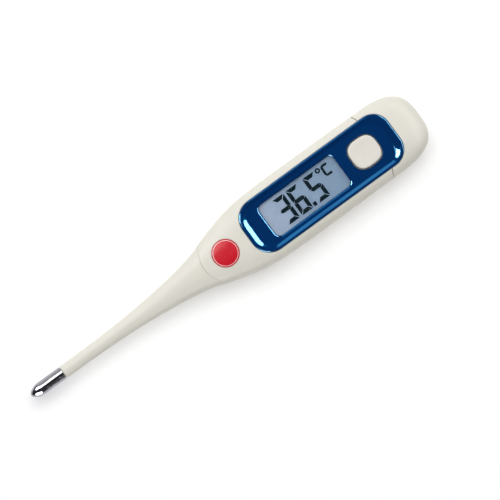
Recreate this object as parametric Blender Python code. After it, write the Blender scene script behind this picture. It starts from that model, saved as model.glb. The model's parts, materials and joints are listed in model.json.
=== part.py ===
"""Digital pen thermometer with a display window, a push button and a slide-off battery cover.

The object lies on its flat belly. +X runs from the metal tip to the battery cover and +Z points
out of the display. The origin is under the middle of the object, on the surface that it lies on.
Dimensions are in millimetres. Heights are measured from the plane where the front and the rear
housing meet, and add_part turns both into metres above the belly.
"""

import math

import bmesh
import bpy
from mathutils import Matrix, Vector

MM = 0.001

# Driving sizes of the whole object
LENGTH = 135.0
TIP_X = -LENGTH / 2
TAIL_X = LENGTH / 2
BELLY = 5.9  # depth of the flat belly below the plane where the housings meet
WALL = 1.3
SEAM_GAP = 0.2
FIT_GAP = 0.3
CONTACT_GAP = 0.1

# Outline of the body: half-width and half-height at stations along X
KINK_X = -7.0
PROBE_WIDTHS = ((-48.0, 1.97), (-36.0, 2.3), (-24.0, 3.2), (-14.0, 4.42), (KINK_X, 5.84))
BODY_WIDTHS = (
    (KINK_X, 5.84), (-3.0, 7.25), (2.0, 8.65), (7.0, 9.8), (12.0, 10.45), (20.0, 10.7), (44.0, 10.7),
    (52.0, 10.6),
)
HEIGHTS = (
    (-48.0, 1.97), (-36.0, 2.28), (-24.0, 2.95), (-12.0, 3.85), (0.0, 5.0), (10.0, 5.9), (18.0, 6.2),
    (44.0, 6.2), (52.0, 6.1),
)
SQUARENESS = ((-30.0, 2.0), (-12.0, 2.4), (2.0, 2.9), (14.0, 3.2))  # 2 is an ellipse, more is boxier
DOME_X = 52.0
DOME_POWER = 3.0

# Parting lines across the body. Each one bows along X from the middle to the sides.
NECK_X, NECK_BOW = -7.1, 2.4
CAP_X, CAP_BOW = 53.9, -2.6

# Metal tip and the probe's spigots
TIP_RADIUS = 1.93
TIP_NOSE = 3.2
TIP_WALL = 0.25
TIP_END_X = -56.4
SLEEVE_X = -56.2
SPIGOT_FRONT_X = -60.0
SPIGOT_FRONT_RADIUS = 1.43
SPIGOT_REAR_X = -1.5
BORE_RADIUS = 1.0
SLEEVE_WALL = 0.9

# Levels of the display stack and the board
DECK_LOW, DECK_TOP = 3.1, 3.9
FLOOR = -BELLY + WALL
BEZEL_LOW, PANEL_TOP = 4.0, 5.05
REBATE_TOP = 4.55
WINDOW_LOW, WINDOW_FLANGE_TOP, WINDOW_TOP = 4.05, 4.45, 4.85
POLARIZER_LEVELS = (3.7, 3.85)
FRONT_GLASS_LEVELS = (3.05, 3.6)
REAR_GLASS_LEVELS = (2.4, 2.95)
REFLECTOR_LEVELS = (2.15, 2.3)
BOARD_LOW, BOARD_TOP = -1.3, -0.3

# Plan of the bezel and what it surrounds
BEZEL_ENDS, BEZEL_HALF, BEZEL_RADII = (7.95, 59.2), 8.35, (6.0, 5.4)
PANEL_ENDS, PANEL_HALF, PANEL_RADII = (11.3, 55.9), 6.9, (4.6, 4.4)
RIM_INSET, RIM_RISE = 0.5, 0.25
WINDOW_ENDS, WINDOW_HALF, WINDOW_RADIUS = (15.0, 40.7), 5.2, 1.6
WINDOW_FLANGE = 1.3
GLASS_ENDS, GLASS_HALF, REAR_GLASS_HALF = (13.0, 42.0), 6.9, 5.6

# Button and switch
BUTTON_X = 48.75
BUTTON_HALF = (4.36, 4.25)
BUTTON_POWER = 2.8
BUTTON_TOP = 5.85
BUTTON_FLANGE = 0.6
BUTTON_FLANGE_LEVELS = (2.3, 2.85)
BUTTON_OPENING_GAP = 0.3
MEMBRANE_LEVELS = (1.85, 2.2, 3.0)
MEMBRANE_HALF, MEMBRANE_WALL = 5.7, 0.55
MEMBRANE_CHAMFER = 0.7  # clears the cover when the button is down
SWITCH_HALF = 2.2
SWITCH_LEVELS = (-0.2, 1.2)
PLUNGER_RADIUS = 1.2
PLUNGER_LEVELS = (0.75, 1.75)
PLUNGER_BORE_LOW = 0.2

# Battery bay
BATTERY_X, BATTERY_RADIUS = 59.3, 3.95
BATTERY_LEVELS = (-3.7, -0.1)
POCKET_TOP = 0.3
CONTACT_LEVELS = (0.0, 0.2)
HOLDER_INSET, HOLDER_LEVELS = 1.65, (-4.0, 0.8)
NECK_CUT = 0.4
SEAL_ENDS = (52.6, 54.6)
COVER_CEILING, COVER_NOTCH_LOW = 1.0, 1.55

# Badge
BADGE_X, BADGE_RADIUS = 0.4, 4.0
BADGE_DEPTH, BADGE_RISE = 0.5, 0.06

# Sounder
BUZZER_X, BUZZER_RADIUS, CERAMIC_RADIUS = 27.0, 6.0, 4.2
BUZZER_LEVELS = (-4.3, -4.1)
CERAMIC_LEVELS = (-4.0, -3.75)
SPRING_WIRE, SPRING_COILS, SPRING_TURNS = 0.15, (1.1, 0.5), 4

# How finely round shapes are divided
RING_POINTS = 32
HALF_RING_STEPS = 14
CORNER_STEPS = 6
SIDE_STEPS = 6
TURNED_STEPS = 20
SHARP_ANGLE = math.radians(32)

MATERIALS = {
    "ivory_plastic": ((0.80, 0.78, 0.71), 0.0, 0.38),
    "button_plastic": ((0.70, 0.68, 0.63), 0.0, 0.42),
    "blue_plastic": ((0.004, 0.035, 0.15), 0.0, 0.12),
    "clear_plastic": ((0.85, 0.9, 0.95), 0.0, 0.05),
    "red_print": ((0.58, 0.006, 0.02), 0.0, 0.3),
    "polished_steel": ((0.62, 0.62, 0.64), 1.0, 0.15),
    "spring_steel": ((0.55, 0.54, 0.52), 1.0, 0.3),
    "brass_sheet": ((0.62, 0.45, 0.18), 1.0, 0.3),
    "white_ceramic": ((0.75, 0.74, 0.7), 0.0, 0.5),
    "board_laminate": ((0.02, 0.16, 0.06), 0.0, 0.45),
    "black_epoxy": ((0.01, 0.01, 0.012), 0.0, 0.5),
    "display_glass": ((0.55, 0.6, 0.62), 0.0, 0.05),
    "grey_film": ((0.3, 0.36, 0.42), 0.0, 0.3),
    "frame_plastic": ((0.6, 0.6, 0.58), 0.0, 0.5),
    "conductive_rubber": ((0.6, 0.3, 0.32), 0.0, 0.7),
    "silicone": ((0.5, 0.52, 0.54), 0.0, 0.6),
    "black_plastic": ((0.02, 0.02, 0.022), 0.0, 0.45),
    "red_wire": ((0.5, 0.02, 0.02), 0.0, 0.45),
    "amber_epoxy": ((0.4, 0.2, 0.04), 0.0, 0.3),
}


# ---------------------------------------------------------------- form of the body

def smooth_value(points, x):
    """The value at x of a smooth curve through the points, held level beyond both ends."""
    if x <= points[0][0]:
        return points[0][1]
    if x >= points[-1][0]:
        return points[-1][1]
    i = max(k for k, point in enumerate(points) if point[0] <= x)
    span = points[i + 1][0] - points[i][0]
    slopes = [slope_at(points, k) * span for k in (i, i + 1)]
    t = (x - points[i][0]) / span
    start, end = points[i][1], points[i + 1][1]
    rise = (3 - 2 * t) * t * t
    return start + (end - start) * rise + slopes[0] * t * (1 - t) ** 2 - slopes[1] * t * t * (1 - t)


def slope_at(points, k):
    before = points[max(k - 1, 0)]
    after = points[min(k + 1, len(points) - 1)]
    return (after[1] - before[1]) / (after[0] - before[0])


def dome_scale(x):
    """How far the round tail has shrunk the section at x."""
    part = min(max((x - DOME_X) / (TAIL_X - DOME_X), 0.0), 1.0)
    return (1 - part ** DOME_POWER) ** (1 / DOME_POWER)


def half_width(x):
    widths = PROBE_WIDTHS if x < KINK_X else BODY_WIDTHS
    return smooth_value(widths, x) * dome_scale(x)


def half_height(x):
    return smooth_value(HEIGHTS, x) * dome_scale(x)


def surface_height(x, y):
    """Height of the body's upper surface over (x, y)."""
    power = smooth_value(SQUARENESS, x)
    inside = max(1 - abs(y / half_width(x)) ** power, 0.0)
    return half_height(x) * inside ** (1 / power)


def signed_power(value, power):
    return math.copysign(abs(value) ** power, value)


def section(x, inset=0.0, levels=(-BELLY, BELLY * 2), bow=0.0, turn=(0.0, 2 * math.pi), count=RING_POINTS):
    """Points round the body's section at x, shrunk by inset and cut flat at both levels."""
    power = 2 / smooth_value(SQUARENESS, x)
    closed = turn[1] - turn[0] >= 2 * math.pi
    points = []
    for k in range(count if closed else count + 1):
        angle = turn[0] + (turn[1] - turn[0]) * k / count
        across = signed_power(math.cos(angle), power)
        up = signed_power(math.sin(angle), power)
        station = x + bow * across ** 2
        width = half_width(station) - inset
        height = half_height(station) - inset
        points.append((station, width * across, min(max(height * up, levels[0]), levels[1])))
    return points


def circle_section(x, radius, count=RING_POINTS):
    return [
        (x, radius * math.cos(2 * math.pi * k / count), radius * math.sin(2 * math.pi * k / count))
        for k in range(count)
    ]


def between(start, end, steps):
    return [start + (end - start) * k / steps for k in range(steps + 1)]


# ---------------------------------------------------------------- outlines in plan

def arc(centre, radius, first, steps):
    """A quarter turn of points about the centre, starting at the angle first, in degrees."""
    return [
        (
            centre[0] + radius * math.cos(math.radians(first + 90 * k / steps)),
            centre[1] + radius * math.sin(math.radians(first + 90 * k / steps)),
        )
        for k in range(steps + 1)
    ]


def rounded_outline(ends, half, radii, grow=0.0, side_steps=1, corner_steps=CORNER_STEPS):
    """A rectangle with round corners, one radius at each end, as (x, y) points anticlockwise."""
    low, high = ends[0] - grow, ends[1] + grow
    half = half + grow
    radius_low, radius_high = radii[0] + grow, radii[1] + grow
    upper = arc((high - radius_high, half - radius_high), radius_high, 0, corner_steps)
    upper += straight((high - radius_high, half), (low + radius_low, half), side_steps)
    upper += arc((low + radius_low, half - radius_low), radius_low, 90, corner_steps)
    return upper + [(x, -y) for x, y in reversed(upper)]


def straight(start, end, steps):
    """The points between two ends, without the ends."""
    return [
        (start[0] + (end[0] - start[0]) * k / steps, start[1] + (end[1] - start[1]) * k / steps)
        for k in range(1, steps)
    ]


def oval_outline(centre_x, halves, power, grow=0.0, count=28):
    """A square with fully rounded sides, as (x, y) points anticlockwise."""
    return [
        (
            centre_x + (halves[0] + grow) * signed_power(math.cos(2 * math.pi * k / count), 2 / power),
            (halves[1] + grow) * signed_power(math.sin(2 * math.pi * k / count), 2 / power),
        )
        for k in range(count)
    ]


def circle_outline(centre, radius, count=TURNED_STEPS):
    angles = [2 * math.pi * (k + 0.5) / count for k in range(count)]
    return [(centre[0] + radius * math.cos(a), centre[1] + radius * math.sin(a)) for a in angles]


# ---------------------------------------------------------------- solids

def loft(rings, loop=False):
    """One closed skin through the rings. A ring of one point is a pole; loop joins last to first."""
    bm = bmesh.new()
    rows = [[bm.verts.new(point) for point in ring] for ring in rings]
    pairs = list(zip(rows, rows[1:]))
    if loop:
        pairs.append((rows[-1], rows[0]))
    for first, second in pairs:
        join_rings(bm, first, second)
    if not loop:
        for row in (rows[0], rows[-1]):
            if len(row) > 1:
                bm.faces.new(row)
    bmesh.ops.triangulate(bm, faces=bm.faces)
    bmesh.ops.recalc_face_normals(bm, faces=bm.faces)
    return bm


def join_rings(bm, first, second):
    if len(first) == 1 and len(second) == 1:
        return
    count = max(len(first), len(second))
    for k in range(count):
        following = (k + 1) % count
        corners = [first[k % len(first)], first[following % len(first)]]
        corners += [second[following % len(second)], second[k % len(second)]]
        bm.faces.new(list(dict.fromkeys(corners)))


def thick_sheet(outer, inner):
    """A solid between two grids of the same size, closed along all four edges."""
    bm = bmesh.new()
    top = [[bm.verts.new(point) for point in row] for row in outer]
    low = [[bm.verts.new(point) for point in row] for row in inner]
    rows, columns = len(top), len(top[0])
    for i in range(rows - 1):
        for k in range(columns - 1):
            bm.faces.new((top[i][k], top[i + 1][k], top[i + 1][k + 1], top[i][k + 1]))
            bm.faces.new((low[i][k], low[i][k + 1], low[i + 1][k + 1], low[i + 1][k]))
    top_rim, low_rim = rim_of(top), rim_of(low)
    for k in range(len(top_rim)):
        following = (k + 1) % len(top_rim)
        bm.faces.new((top_rim[k], top_rim[following], low_rim[following], low_rim[k]))
    bmesh.ops.triangulate(bm, faces=bm.faces)
    bmesh.ops.recalc_face_normals(bm, faces=bm.faces)
    return bm


def rim_of(grid):
    """The grid's outer vertices, in order round its edge."""
    near = list(grid[0])
    far = list(reversed(grid[-1]))
    left = [row[-1] for row in grid[1:-1]]
    right = [row[0] for row in reversed(grid[1:-1])]
    return near + left + far + right


def prism(outline, low, top):
    """The outline extruded straight up."""
    bm = bmesh.new()
    base = bm.faces.new([bm.verts.new((x, y, low)) for x, y in outline])
    raised = bmesh.ops.extrude_face_region(bm, geom=[base])
    verts = [item for item in raised["geom"] if isinstance(item, bmesh.types.BMVert)]
    bmesh.ops.translate(bm, vec=(0, 0, top - low), verts=verts)
    bmesh.ops.recalc_face_normals(bm, faces=bm.faces)
    return bm


def stepped_prism(levels):
    """A stack of outlines, each a (outline, height) pair with the same number of points."""
    return loft([[(x, y, z) for x, y in outline] for outline, z in levels])


def box(x, y, z):
    """A block between the (low, high) pairs x, y and z."""
    bm = bmesh.new()
    bmesh.ops.create_cube(bm, size=1)
    size = Matrix.Diagonal((x[1] - x[0], y[1] - y[0], z[1] - z[0], 1))
    centre = Matrix.Translation((sum(x) / 2, sum(y) / 2, sum(z) / 2))
    bmesh.ops.transform(bm, matrix=centre @ size, verts=bm.verts)
    return bm


def turned(profile, centre=(0.0, 0.0, 0.0), steps=TURNED_STEPS):
    """A solid of revolution about a line along X. The profile is (x, radius) points in a loop."""
    rings = []
    for x, radius in profile:
        if radius == 0:
            rings.append([(centre[0] + x, centre[1], centre[2])])
            continue
        ring = circle_section(x, radius, steps)
        rings.append([(centre[0] + a, centre[1] + b, centre[2] + c) for a, b, c in ring])
    poles = profile[0][1] == 0 and profile[-1][1] == 0
    return loft(rings, loop=not poles)


# ---------------------------------------------------------------- scene

def clear_scene():
    for obj in list(bpy.data.objects):
        bpy.data.objects.remove(obj, do_unlink=True)


def make_materials():
    made = {}
    for name, (colour, metallic, roughness) in MATERIALS.items():
        material = bpy.data.materials.new(name)
        material.use_nodes = True
        shader = material.node_tree.nodes["Principled BSDF"]
        shader.inputs["Base Color"].default_value = (*colour, 1)
        shader.inputs["Metallic"].default_value = metallic
        shader.inputs["Roughness"].default_value = roughness
        made[name] = material
    return made


def add_part(name, bm, material, origin=(0.0, 0.0, 0.0)):
    """Makes an object of the solid, with its origin at the given point, and stands it on the belly."""
    place = Vector(origin)
    bmesh.ops.translate(bm, vec=-place, verts=bm.verts)
    bmesh.ops.scale(bm, vec=(MM, MM, MM), verts=bm.verts)
    mesh = bpy.data.meshes.new(name)
    bm.to_mesh(mesh)
    bm.free()
    mesh.materials.append(MADE[material])
    mesh.shade_smooth()
    mesh.set_sharp_from_angle(angle=SHARP_ANGLE)
    obj = bpy.data.objects.new(name, mesh)
    bpy.context.scene.collection.objects.link(obj)
    obj.location = (place + Vector((0, 0, BELLY))) * MM
    return obj


def add_tool(name, bm):
    """A solid that only cuts or joins others."""
    tool = add_part(name, bm, "black_plastic")
    tool.hide_render = True
    tool.display_type = "WIRE"
    return tool


def combine(target, operation, name, bm):
    """Cuts the solid from the target, or joins it on."""
    modifier = target.modifiers.new(name, "BOOLEAN")
    modifier.operation = operation
    modifier.solver = "EXACT"
    modifier.object = add_tool(target.name + "_" + name, bm)


def cut(target, name, bm):
    combine(target, "DIFFERENCE", name, bm)


def join(target, name, bm):
    combine(target, "UNION", name, bm)


def add_wire(name, points, radius, material, sides=2):
    """A round wire along the points, with closed ends."""
    curve = bpy.data.curves.new(name, "CURVE")
    curve.dimensions = "3D"
    curve.bevel_depth = radius * MM
    curve.bevel_resolution = sides
    curve.use_fill_caps = True
    spline = curve.splines.new("POLY")
    spline.points.add(len(points) - 1)
    for spline_point, point in zip(spline.points, points):
        spline_point.co = (*((Vector(point) + Vector((0, 0, BELLY))) * MM), 1)
    curve.materials.append(MADE[material])
    obj = bpy.data.objects.new(name, curve)
    bpy.context.scene.collection.objects.link(obj)
    return obj


# ---------------------------------------------------------------- casing

def make_sensor_cap():
    """A thin metal cup with a round nose, open at the back."""
    nose_x = TIP_X + TIP_NOSE
    angles = between(0, math.pi / 2, CORNER_STEPS)
    outer = [(nose_x - TIP_NOSE * math.cos(a), TIP_RADIUS * math.sin(a)) for a in angles]
    inner_nose = TIP_NOSE - TIP_WALL
    inner_radius = TIP_RADIUS - TIP_WALL
    inner = [(nose_x - inner_nose * math.cos(a), inner_radius * math.sin(a)) for a in reversed(angles)]
    outer[0] = (TIP_X, 0)
    inner[-1] = (nose_x - inner_nose, 0)
    profile = outer + [(TIP_END_X, TIP_RADIUS), (TIP_END_X, inner_radius)] + inner
    add_part("sensor_cap", turned(profile), "polished_steel")


def make_probe_sleeve():
    """The probe: a tube that swells into the body, with a spigot at each end."""
    rings = [circle_section(SPIGOT_FRONT_X, SPIGOT_FRONT_RADIUS)]
    rings.append(circle_section(SLEEVE_X, SPIGOT_FRONT_RADIUS))
    stations = [SLEEVE_X, -50.0, -44.0, -38.0, -33.0, -28.0, -23.0, -18.0, -14.0, -10.5]
    rings += [section(x) for x in stations]
    seam = NECK_X - SEAM_GAP / 2
    lap = WALL + SEAM_GAP
    rings.append(section(seam, bow=NECK_BOW))
    rings.append(section(seam, inset=lap, levels=(FLOOR + SEAM_GAP, DECK_LOW - SEAM_GAP), bow=NECK_BOW))
    rings.append(section(SPIGOT_REAR_X, inset=lap, levels=(FLOOR + SEAM_GAP, DECK_LOW - SEAM_GAP)))
    bore = lap + SLEEVE_WALL
    rings.append(section(SPIGOT_REAR_X, inset=bore, levels=(FLOOR + 1.1, DECK_LOW - 1.1)))
    rings.append(section(NECK_X, inset=bore, bow=NECK_BOW))
    rings += [circle_section(x, BORE_RADIUS + 0.035 * (x - SLEEVE_X)) for x in (-14.0, -35.0)]
    rings.append(circle_section(SLEEVE_X, BORE_RADIUS))
    rings.append(circle_section(SPIGOT_FRONT_X, BORE_RADIUS))
    add_part("probe_sleeve", loft(rings, loop=True), "ivory_plastic")


def housing_grid(inset, turn, levels):
    """Points over half of the body from the neck seam to the cap seam, following both bows."""
    first = NECK_X + SEAM_GAP / 2
    last = CAP_X - SEAM_GAP / 2
    middle = [-3.0, 0.5, 4.0, 8.0, 12.0, 17.0, 25.0, 33.0, 41.0, 47.0]
    bows = [NECK_BOW] + [0.0] * len(middle) + [CAP_BOW]
    bows[1], bows[-2] = NECK_BOW / 2, CAP_BOW / 2
    return [
        section(x, inset, levels, bow, turn, HALF_RING_STEPS)
        for x, bow in zip([first] + middle + [last], bows)
    ]


def make_front_housing():
    """The upper shell, with a deck under the bezel and openings for the display and the button."""
    upper_turn = (0.0, math.pi)
    outer = housing_grid(0.0, upper_turn, (SEAM_GAP / 2, 2 * BELLY))
    inner = housing_grid(WALL, upper_turn, (SEAM_GAP / 2, DECK_LOW))
    shell = add_part("front_housing", thick_sheet(outer, inner), "ivory_plastic")
    tongue_ends = (50.0, BEZEL_ENDS[1])
    tongue = rounded_outline(tongue_ends, BEZEL_HALF - 0.15, (0.5, BEZEL_RADII[1]))
    join(shell, "tongue", prism(tongue, DECK_LOW + 0.05, DECK_TOP - 0.05))
    cut(shell, "bezel_pocket", prism(bezel_outline(SEAM_GAP), DECK_TOP, 2 * BELLY))
    glass = rounded_outline(GLASS_ENDS, GLASS_HALF, (0.4, 0.4), grow=FIT_GAP, corner_steps=2)
    cut(shell, "display_opening", prism(glass, 0, DECK_TOP + 1))
    button = oval_outline(BUTTON_X, BUTTON_HALF, BUTTON_POWER, grow=BUTTON_OPENING_GAP)
    cut(shell, "button_opening", prism(button, 0, DECK_TOP + 1))
    badge = circle_outline((BADGE_X, 0), BADGE_RADIUS + SEAM_GAP / 2, 28)
    recess = [
        [(x, y, surface_height(x, y) - BADGE_DEPTH - SEAM_GAP) for x, y in badge],
        [(x, y, 2 * BELLY) for x, y in badge],
    ]
    cut(shell, "badge_recess", loft(recess))


def make_rear_housing():
    """The lower shell, with a flat belly and two ribs that carry the board."""
    lower_turn = (-math.pi, 0.0)
    outer = housing_grid(0.0, lower_turn, (-BELLY, -SEAM_GAP / 2))
    inner = housing_grid(WALL, lower_turn, (FLOOR, -SEAM_GAP / 2))
    shell = add_part("rear_housing", thick_sheet(outer, inner), "ivory_plastic")
    for number, x in enumerate((16.5, 37.0)):
        rib = box((x, x + 0.8), (-6.5, 6.5), (FLOOR - 0.4, BOARD_LOW - CONTACT_GAP))
        join(shell, f"rib_{number}", rib)


def make_battery_cover():
    """The round tail, which slides off towards +X. A notch clears the bezel and the tongue."""
    seam = CAP_X + SEAM_GAP / 2
    outer_stations = [56.0, 58.5, 61.0, 63.0, 64.6, 65.8, 66.7, 67.25]
    rings = [section(seam, bow=CAP_BOW)] + [section(x) for x in outer_stations]
    rings.append([(TAIL_X, 0.0, 0.0)])
    cavity_end = 65.2
    rings.append([(cavity_end, 0.0, (FLOOR + COVER_CEILING) / 2)])
    levels = (FLOOR, COVER_CEILING)
    rings += [section(x, WALL, levels) for x in (cavity_end, 64.2, 62.0, 59.0, 56.0)]
    rings.append(section(seam, WALL, levels, CAP_BOW))
    cover = add_part("battery_cover", loft(rings, loop=True), "ivory_plastic", origin=(BATTERY_X, 0, 0))
    cut(cover, "bezel_notch", prism(bezel_outline(FIT_GAP), COVER_NOTCH_LOW, 2 * BELLY))


def bezel_outline(grow=0.0):
    return rounded_outline(BEZEL_ENDS, BEZEL_HALF, BEZEL_RADII, grow, SIDE_STEPS)


def make_bezel():
    """The blue frame: its rim follows the body's crown, and its inner panel is flat and lower."""
    outer = bezel_outline()
    crest = bezel_outline(-RIM_INSET)
    panel = rounded_outline(PANEL_ENDS, PANEL_HALF, PANEL_RADII, 0.0, SIDE_STEPS)
    rings = [
        [(x, y, BEZEL_LOW) for x, y in outer],
        [(x, y, surface_height(x, y)) for x, y in outer],
        [(x, y, surface_height(x, y) + RIM_RISE) for x, y in crest],
        [(x, y, PANEL_TOP) for x, y in panel],
    ]
    bezel = add_part("bezel", loft(rings), "blue_plastic")
    cut(bezel, "window_opening", prism(window_outline(0.0), 0, 2 * BELLY))
    cut(bezel, "window_rebate", prism(window_outline(WINDOW_FLANGE + 0.2), 0, REBATE_TOP))
    button = oval_outline(BUTTON_X, BUTTON_HALF, BUTTON_POWER, grow=BUTTON_OPENING_GAP)
    cut(bezel, "button_opening", prism(button, 0, 2 * BELLY))


def window_outline(grow):
    return rounded_outline(WINDOW_ENDS, WINDOW_HALF, (WINDOW_RADIUS, WINDOW_RADIUS), grow)


def make_display_window():
    """The clear lens: a flange under the bezel, and a boss that fills the bezel's opening."""
    flange, boss = window_outline(WINDOW_FLANGE), window_outline(-FIT_GAP)
    levels = [(flange, WINDOW_LOW), (flange, WINDOW_FLANGE_TOP)]
    levels += [(boss, WINDOW_FLANGE_TOP), (boss, WINDOW_TOP)]
    add_part("display_window", stepped_prism(levels), "clear_plastic")


def make_badge():
    """A thin round inlay that follows the crown of the housing."""
    top, low = [], []
    for part in (0.0, 0.35, 0.7, 1.0):
        ring = circle_outline((BADGE_X, 0), BADGE_RADIUS * part, 28) if part else [(BADGE_X, 0)]
        top.append([(x, y, surface_height(x, y) + BADGE_RISE) for x, y in ring])
        low.append([(x, y, surface_height(x, y) - BADGE_DEPTH) for x, y in ring])
    add_part("badge", loft(top + low[::-1]), "red_print")


# ---------------------------------------------------------------- button and switch

def make_power_button():
    """A domed cap with a flange that stops it under the deck."""
    def outline(grow):
        return oval_outline(BUTTON_X, BUTTON_HALF, BUTTON_POWER, grow)

    low, high = BUTTON_FLANGE_LEVELS
    levels = [(outline(BUTTON_FLANGE), low), (outline(BUTTON_FLANGE), high), (outline(0), high)]
    levels += [(outline(0), BUTTON_TOP - 0.45), (outline(-0.15), BUTTON_TOP - 0.15)]
    levels += [(outline(-0.5), BUTTON_TOP), (outline(-1.6), BUTTON_TOP)]
    add_part("power_button", stepped_prism(levels), "button_plastic", origin=(BUTTON_X, 0, low))


def make_button_membrane():
    """A soft cup that hangs under the deck round the button's flange and springs it back."""
    low, floor, top = MEMBRANE_LEVELS

    def outline(half):
        return oval_outline(BUTTON_X, (half, half), BUTTON_POWER)

    outer, inner = outline(MEMBRANE_HALF), outline(MEMBRANE_HALF - MEMBRANE_WALL)
    levels = [(outline(MEMBRANE_HALF - MEMBRANE_CHAMFER), low), (outer, low + MEMBRANE_CHAMFER)]
    levels += [(outer, top), (inner, top), (inner, floor)]
    add_part("button_membrane", stepped_prism(levels), "silicone")


def make_switch():
    """A tact switch on the board, right under the button."""
    half = SWITCH_HALF
    base_box = box((BUTTON_X - half, BUTTON_X + half), (-half, half), SWITCH_LEVELS)
    base = add_part("switch_base", base_box, "black_plastic")
    bore = circle_outline((BUTTON_X, 0), PLUNGER_RADIUS + 0.15)
    cut(base, "plunger_bore", prism(bore, PLUNGER_BORE_LOW, BELLY))
    plunger = prism(circle_outline((BUTTON_X, 0), PLUNGER_RADIUS), *PLUNGER_LEVELS)
    add_part("switch_plunger", plunger, "spring_steel", origin=(BUTTON_X, 0, PLUNGER_LEVELS[0]))


# ---------------------------------------------------------------- display and board

def make_display():
    """The display cell: two glass plates between a polarizer and a reflector, on rubber connectors."""
    def plate(half, levels, shorten=0.0):
        return box((GLASS_ENDS[0] + shorten, GLASS_ENDS[1] - shorten), (-half, half), levels)

    add_part("lcd_front_polarizer", plate(REAR_GLASS_HALF, POLARIZER_LEVELS, 0.5), "grey_film")
    add_part("lcd_front_glass", plate(GLASS_HALF, FRONT_GLASS_LEVELS), "display_glass")
    add_part("lcd_rear_glass", plate(REAR_GLASS_HALF, REAR_GLASS_LEVELS), "display_glass")
    add_part("lcd_reflector", plate(REAR_GLASS_HALF, REFLECTOR_LEVELS, 0.5), "grey_film")
    strip_levels = (BOARD_TOP + CONTACT_GAP, FRONT_GLASS_LEVELS[0] - CONTACT_GAP)
    strip = (REAR_GLASS_HALF + 0.2, GLASS_HALF - 0.1)
    strip_x = (GLASS_ENDS[0] + 0.6, GLASS_ENDS[1] - 0.6)
    add_part("zebra_strip_a", box(strip_x, (-strip[1], -strip[0]), strip_levels), "conductive_rubber")
    add_part("zebra_strip_b", box(strip_x, strip, strip_levels), "conductive_rubber")
    make_lcd_frame()


def make_lcd_frame():
    """A moulded frame round the cell, with a shelf at each end."""
    low, top = BOARD_TOP + CONTACT_GAP, DECK_LOW - 0.2
    rim = 0.6
    inner_half = GLASS_HALF + 0.2
    outer_half = inner_half + rim
    inner = (GLASS_ENDS[0] - 0.3, GLASS_ENDS[1] + 0.3)
    outer = (inner[0] - rim, inner[1] + rim)
    frame = add_part("lcd_frame", box(outer, (-outer_half, outer_half), (low, top)), "frame_plastic")
    cut(frame, "glass_well", box(inner, (-inner_half, inner_half), (2.05, BELLY)))
    cut(frame, "light_well", box((inner[0] + 1.2, inner[1] - 1.2), (-5.0, 5.0), (-BELLY, BELLY)))
    strip_ends = (GLASS_ENDS[0] + 0.4, GLASS_ENDS[1] - 0.4)
    for side in (-1, 1):
        edges = sorted((side * (REAR_GLASS_HALF + 0.1), side * inner_half))
        cut(frame, f"strip_slot_{side + 1}", box(strip_ends, edges, (-BELLY, BELLY)))


def make_circuit_board():
    nose = [(51.4, 8.2), (12.0, 8.2), (5.0, 5.6), (2.0, 3.4)]
    outline = nose + [(x, -y) for x, y in reversed(nose)]
    add_part("circuit_board", prism(outline, BOARD_LOW, BOARD_TOP), "board_laminate")


def make_board_parts():
    """The parts soldered to the board, above it and below it."""
    top = BOARD_TOP + CONTACT_GAP
    chips = (
        ("reference_resistor", (8.2, 3.2), (1.6, 0.8, 0.45), "black_epoxy"),
        ("filter_capacitor_a", (8.2, -3.2), (1.6, 0.8, 0.8), "amber_epoxy"),
        ("filter_capacitor_b", (10.4, 4.4), (1.0, 1.6, 0.8), "amber_epoxy"),
    )
    for name, (x, y), (length, width, height), material in chips:
        solid = box((x - length / 2, x + length / 2), (y - width / 2, y + width / 2), (top, top + height))
        add_part(name, solid, material)
    blob_base = BOARD_LOW - CONTACT_GAP
    levels = [
        (circle_outline((10.5, 0), 3.0 * math.cos(a)), blob_base - 1.1 * math.sin(a))
        for a in between(0, math.radians(75), 4)
    ]
    add_part("controller_blob", stepped_prism(levels), "black_epoxy")
    can = [(0, 0.0), (0, 0.9), (5.0, 0.9), (5.3, 0.7), (5.3, 0.0)]
    crystal = turned(can, centre=(38.6, 4.6, BOARD_LOW - 1.1), steps=14)
    add_part("crystal_can", crystal, "polished_steel")


def make_buzzer():
    """A piezo disc on the floor of the rear housing, joined to the board by two small springs."""
    disc = circle_outline((BUZZER_X, 0), BUZZER_RADIUS, 28)
    add_part("buzzer_plate", prism(disc, *BUZZER_LEVELS), "brass_sheet")
    ceramic = circle_outline((BUZZER_X, 0), CERAMIC_RADIUS, 24)
    add_part("buzzer_ceramic", prism(ceramic, *CERAMIC_LEVELS), "white_ceramic")
    high = BOARD_LOW - CONTACT_GAP - SPRING_WIRE
    lift = CONTACT_GAP + SPRING_WIRE
    wide, narrow = SPRING_COILS
    rim_y = CERAMIC_RADIUS + SPRING_WIRE + narrow + CONTACT_GAP
    coil_spring("buzzer_spring_a", (BUZZER_X, 0), CERAMIC_LEVELS[1] + lift, high, wide)
    coil_spring("buzzer_spring_b", (BUZZER_X, rim_y), BUZZER_LEVELS[1] + lift, high, narrow)


def coil_spring(name, centre, low, high, coil):
    steps = 10
    count = SPRING_TURNS * steps
    points = []
    for k in range(count + 1):
        angle = 2 * math.pi * k / steps
        rise = low + (high - low) * k / count
        points.append((centre[0] + coil * math.cos(angle), centre[1] + coil * math.sin(angle), rise))
    add_wire(name, points, SPRING_WIRE, "spring_steel", sides=1)


# ---------------------------------------------------------------- sensor

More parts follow.
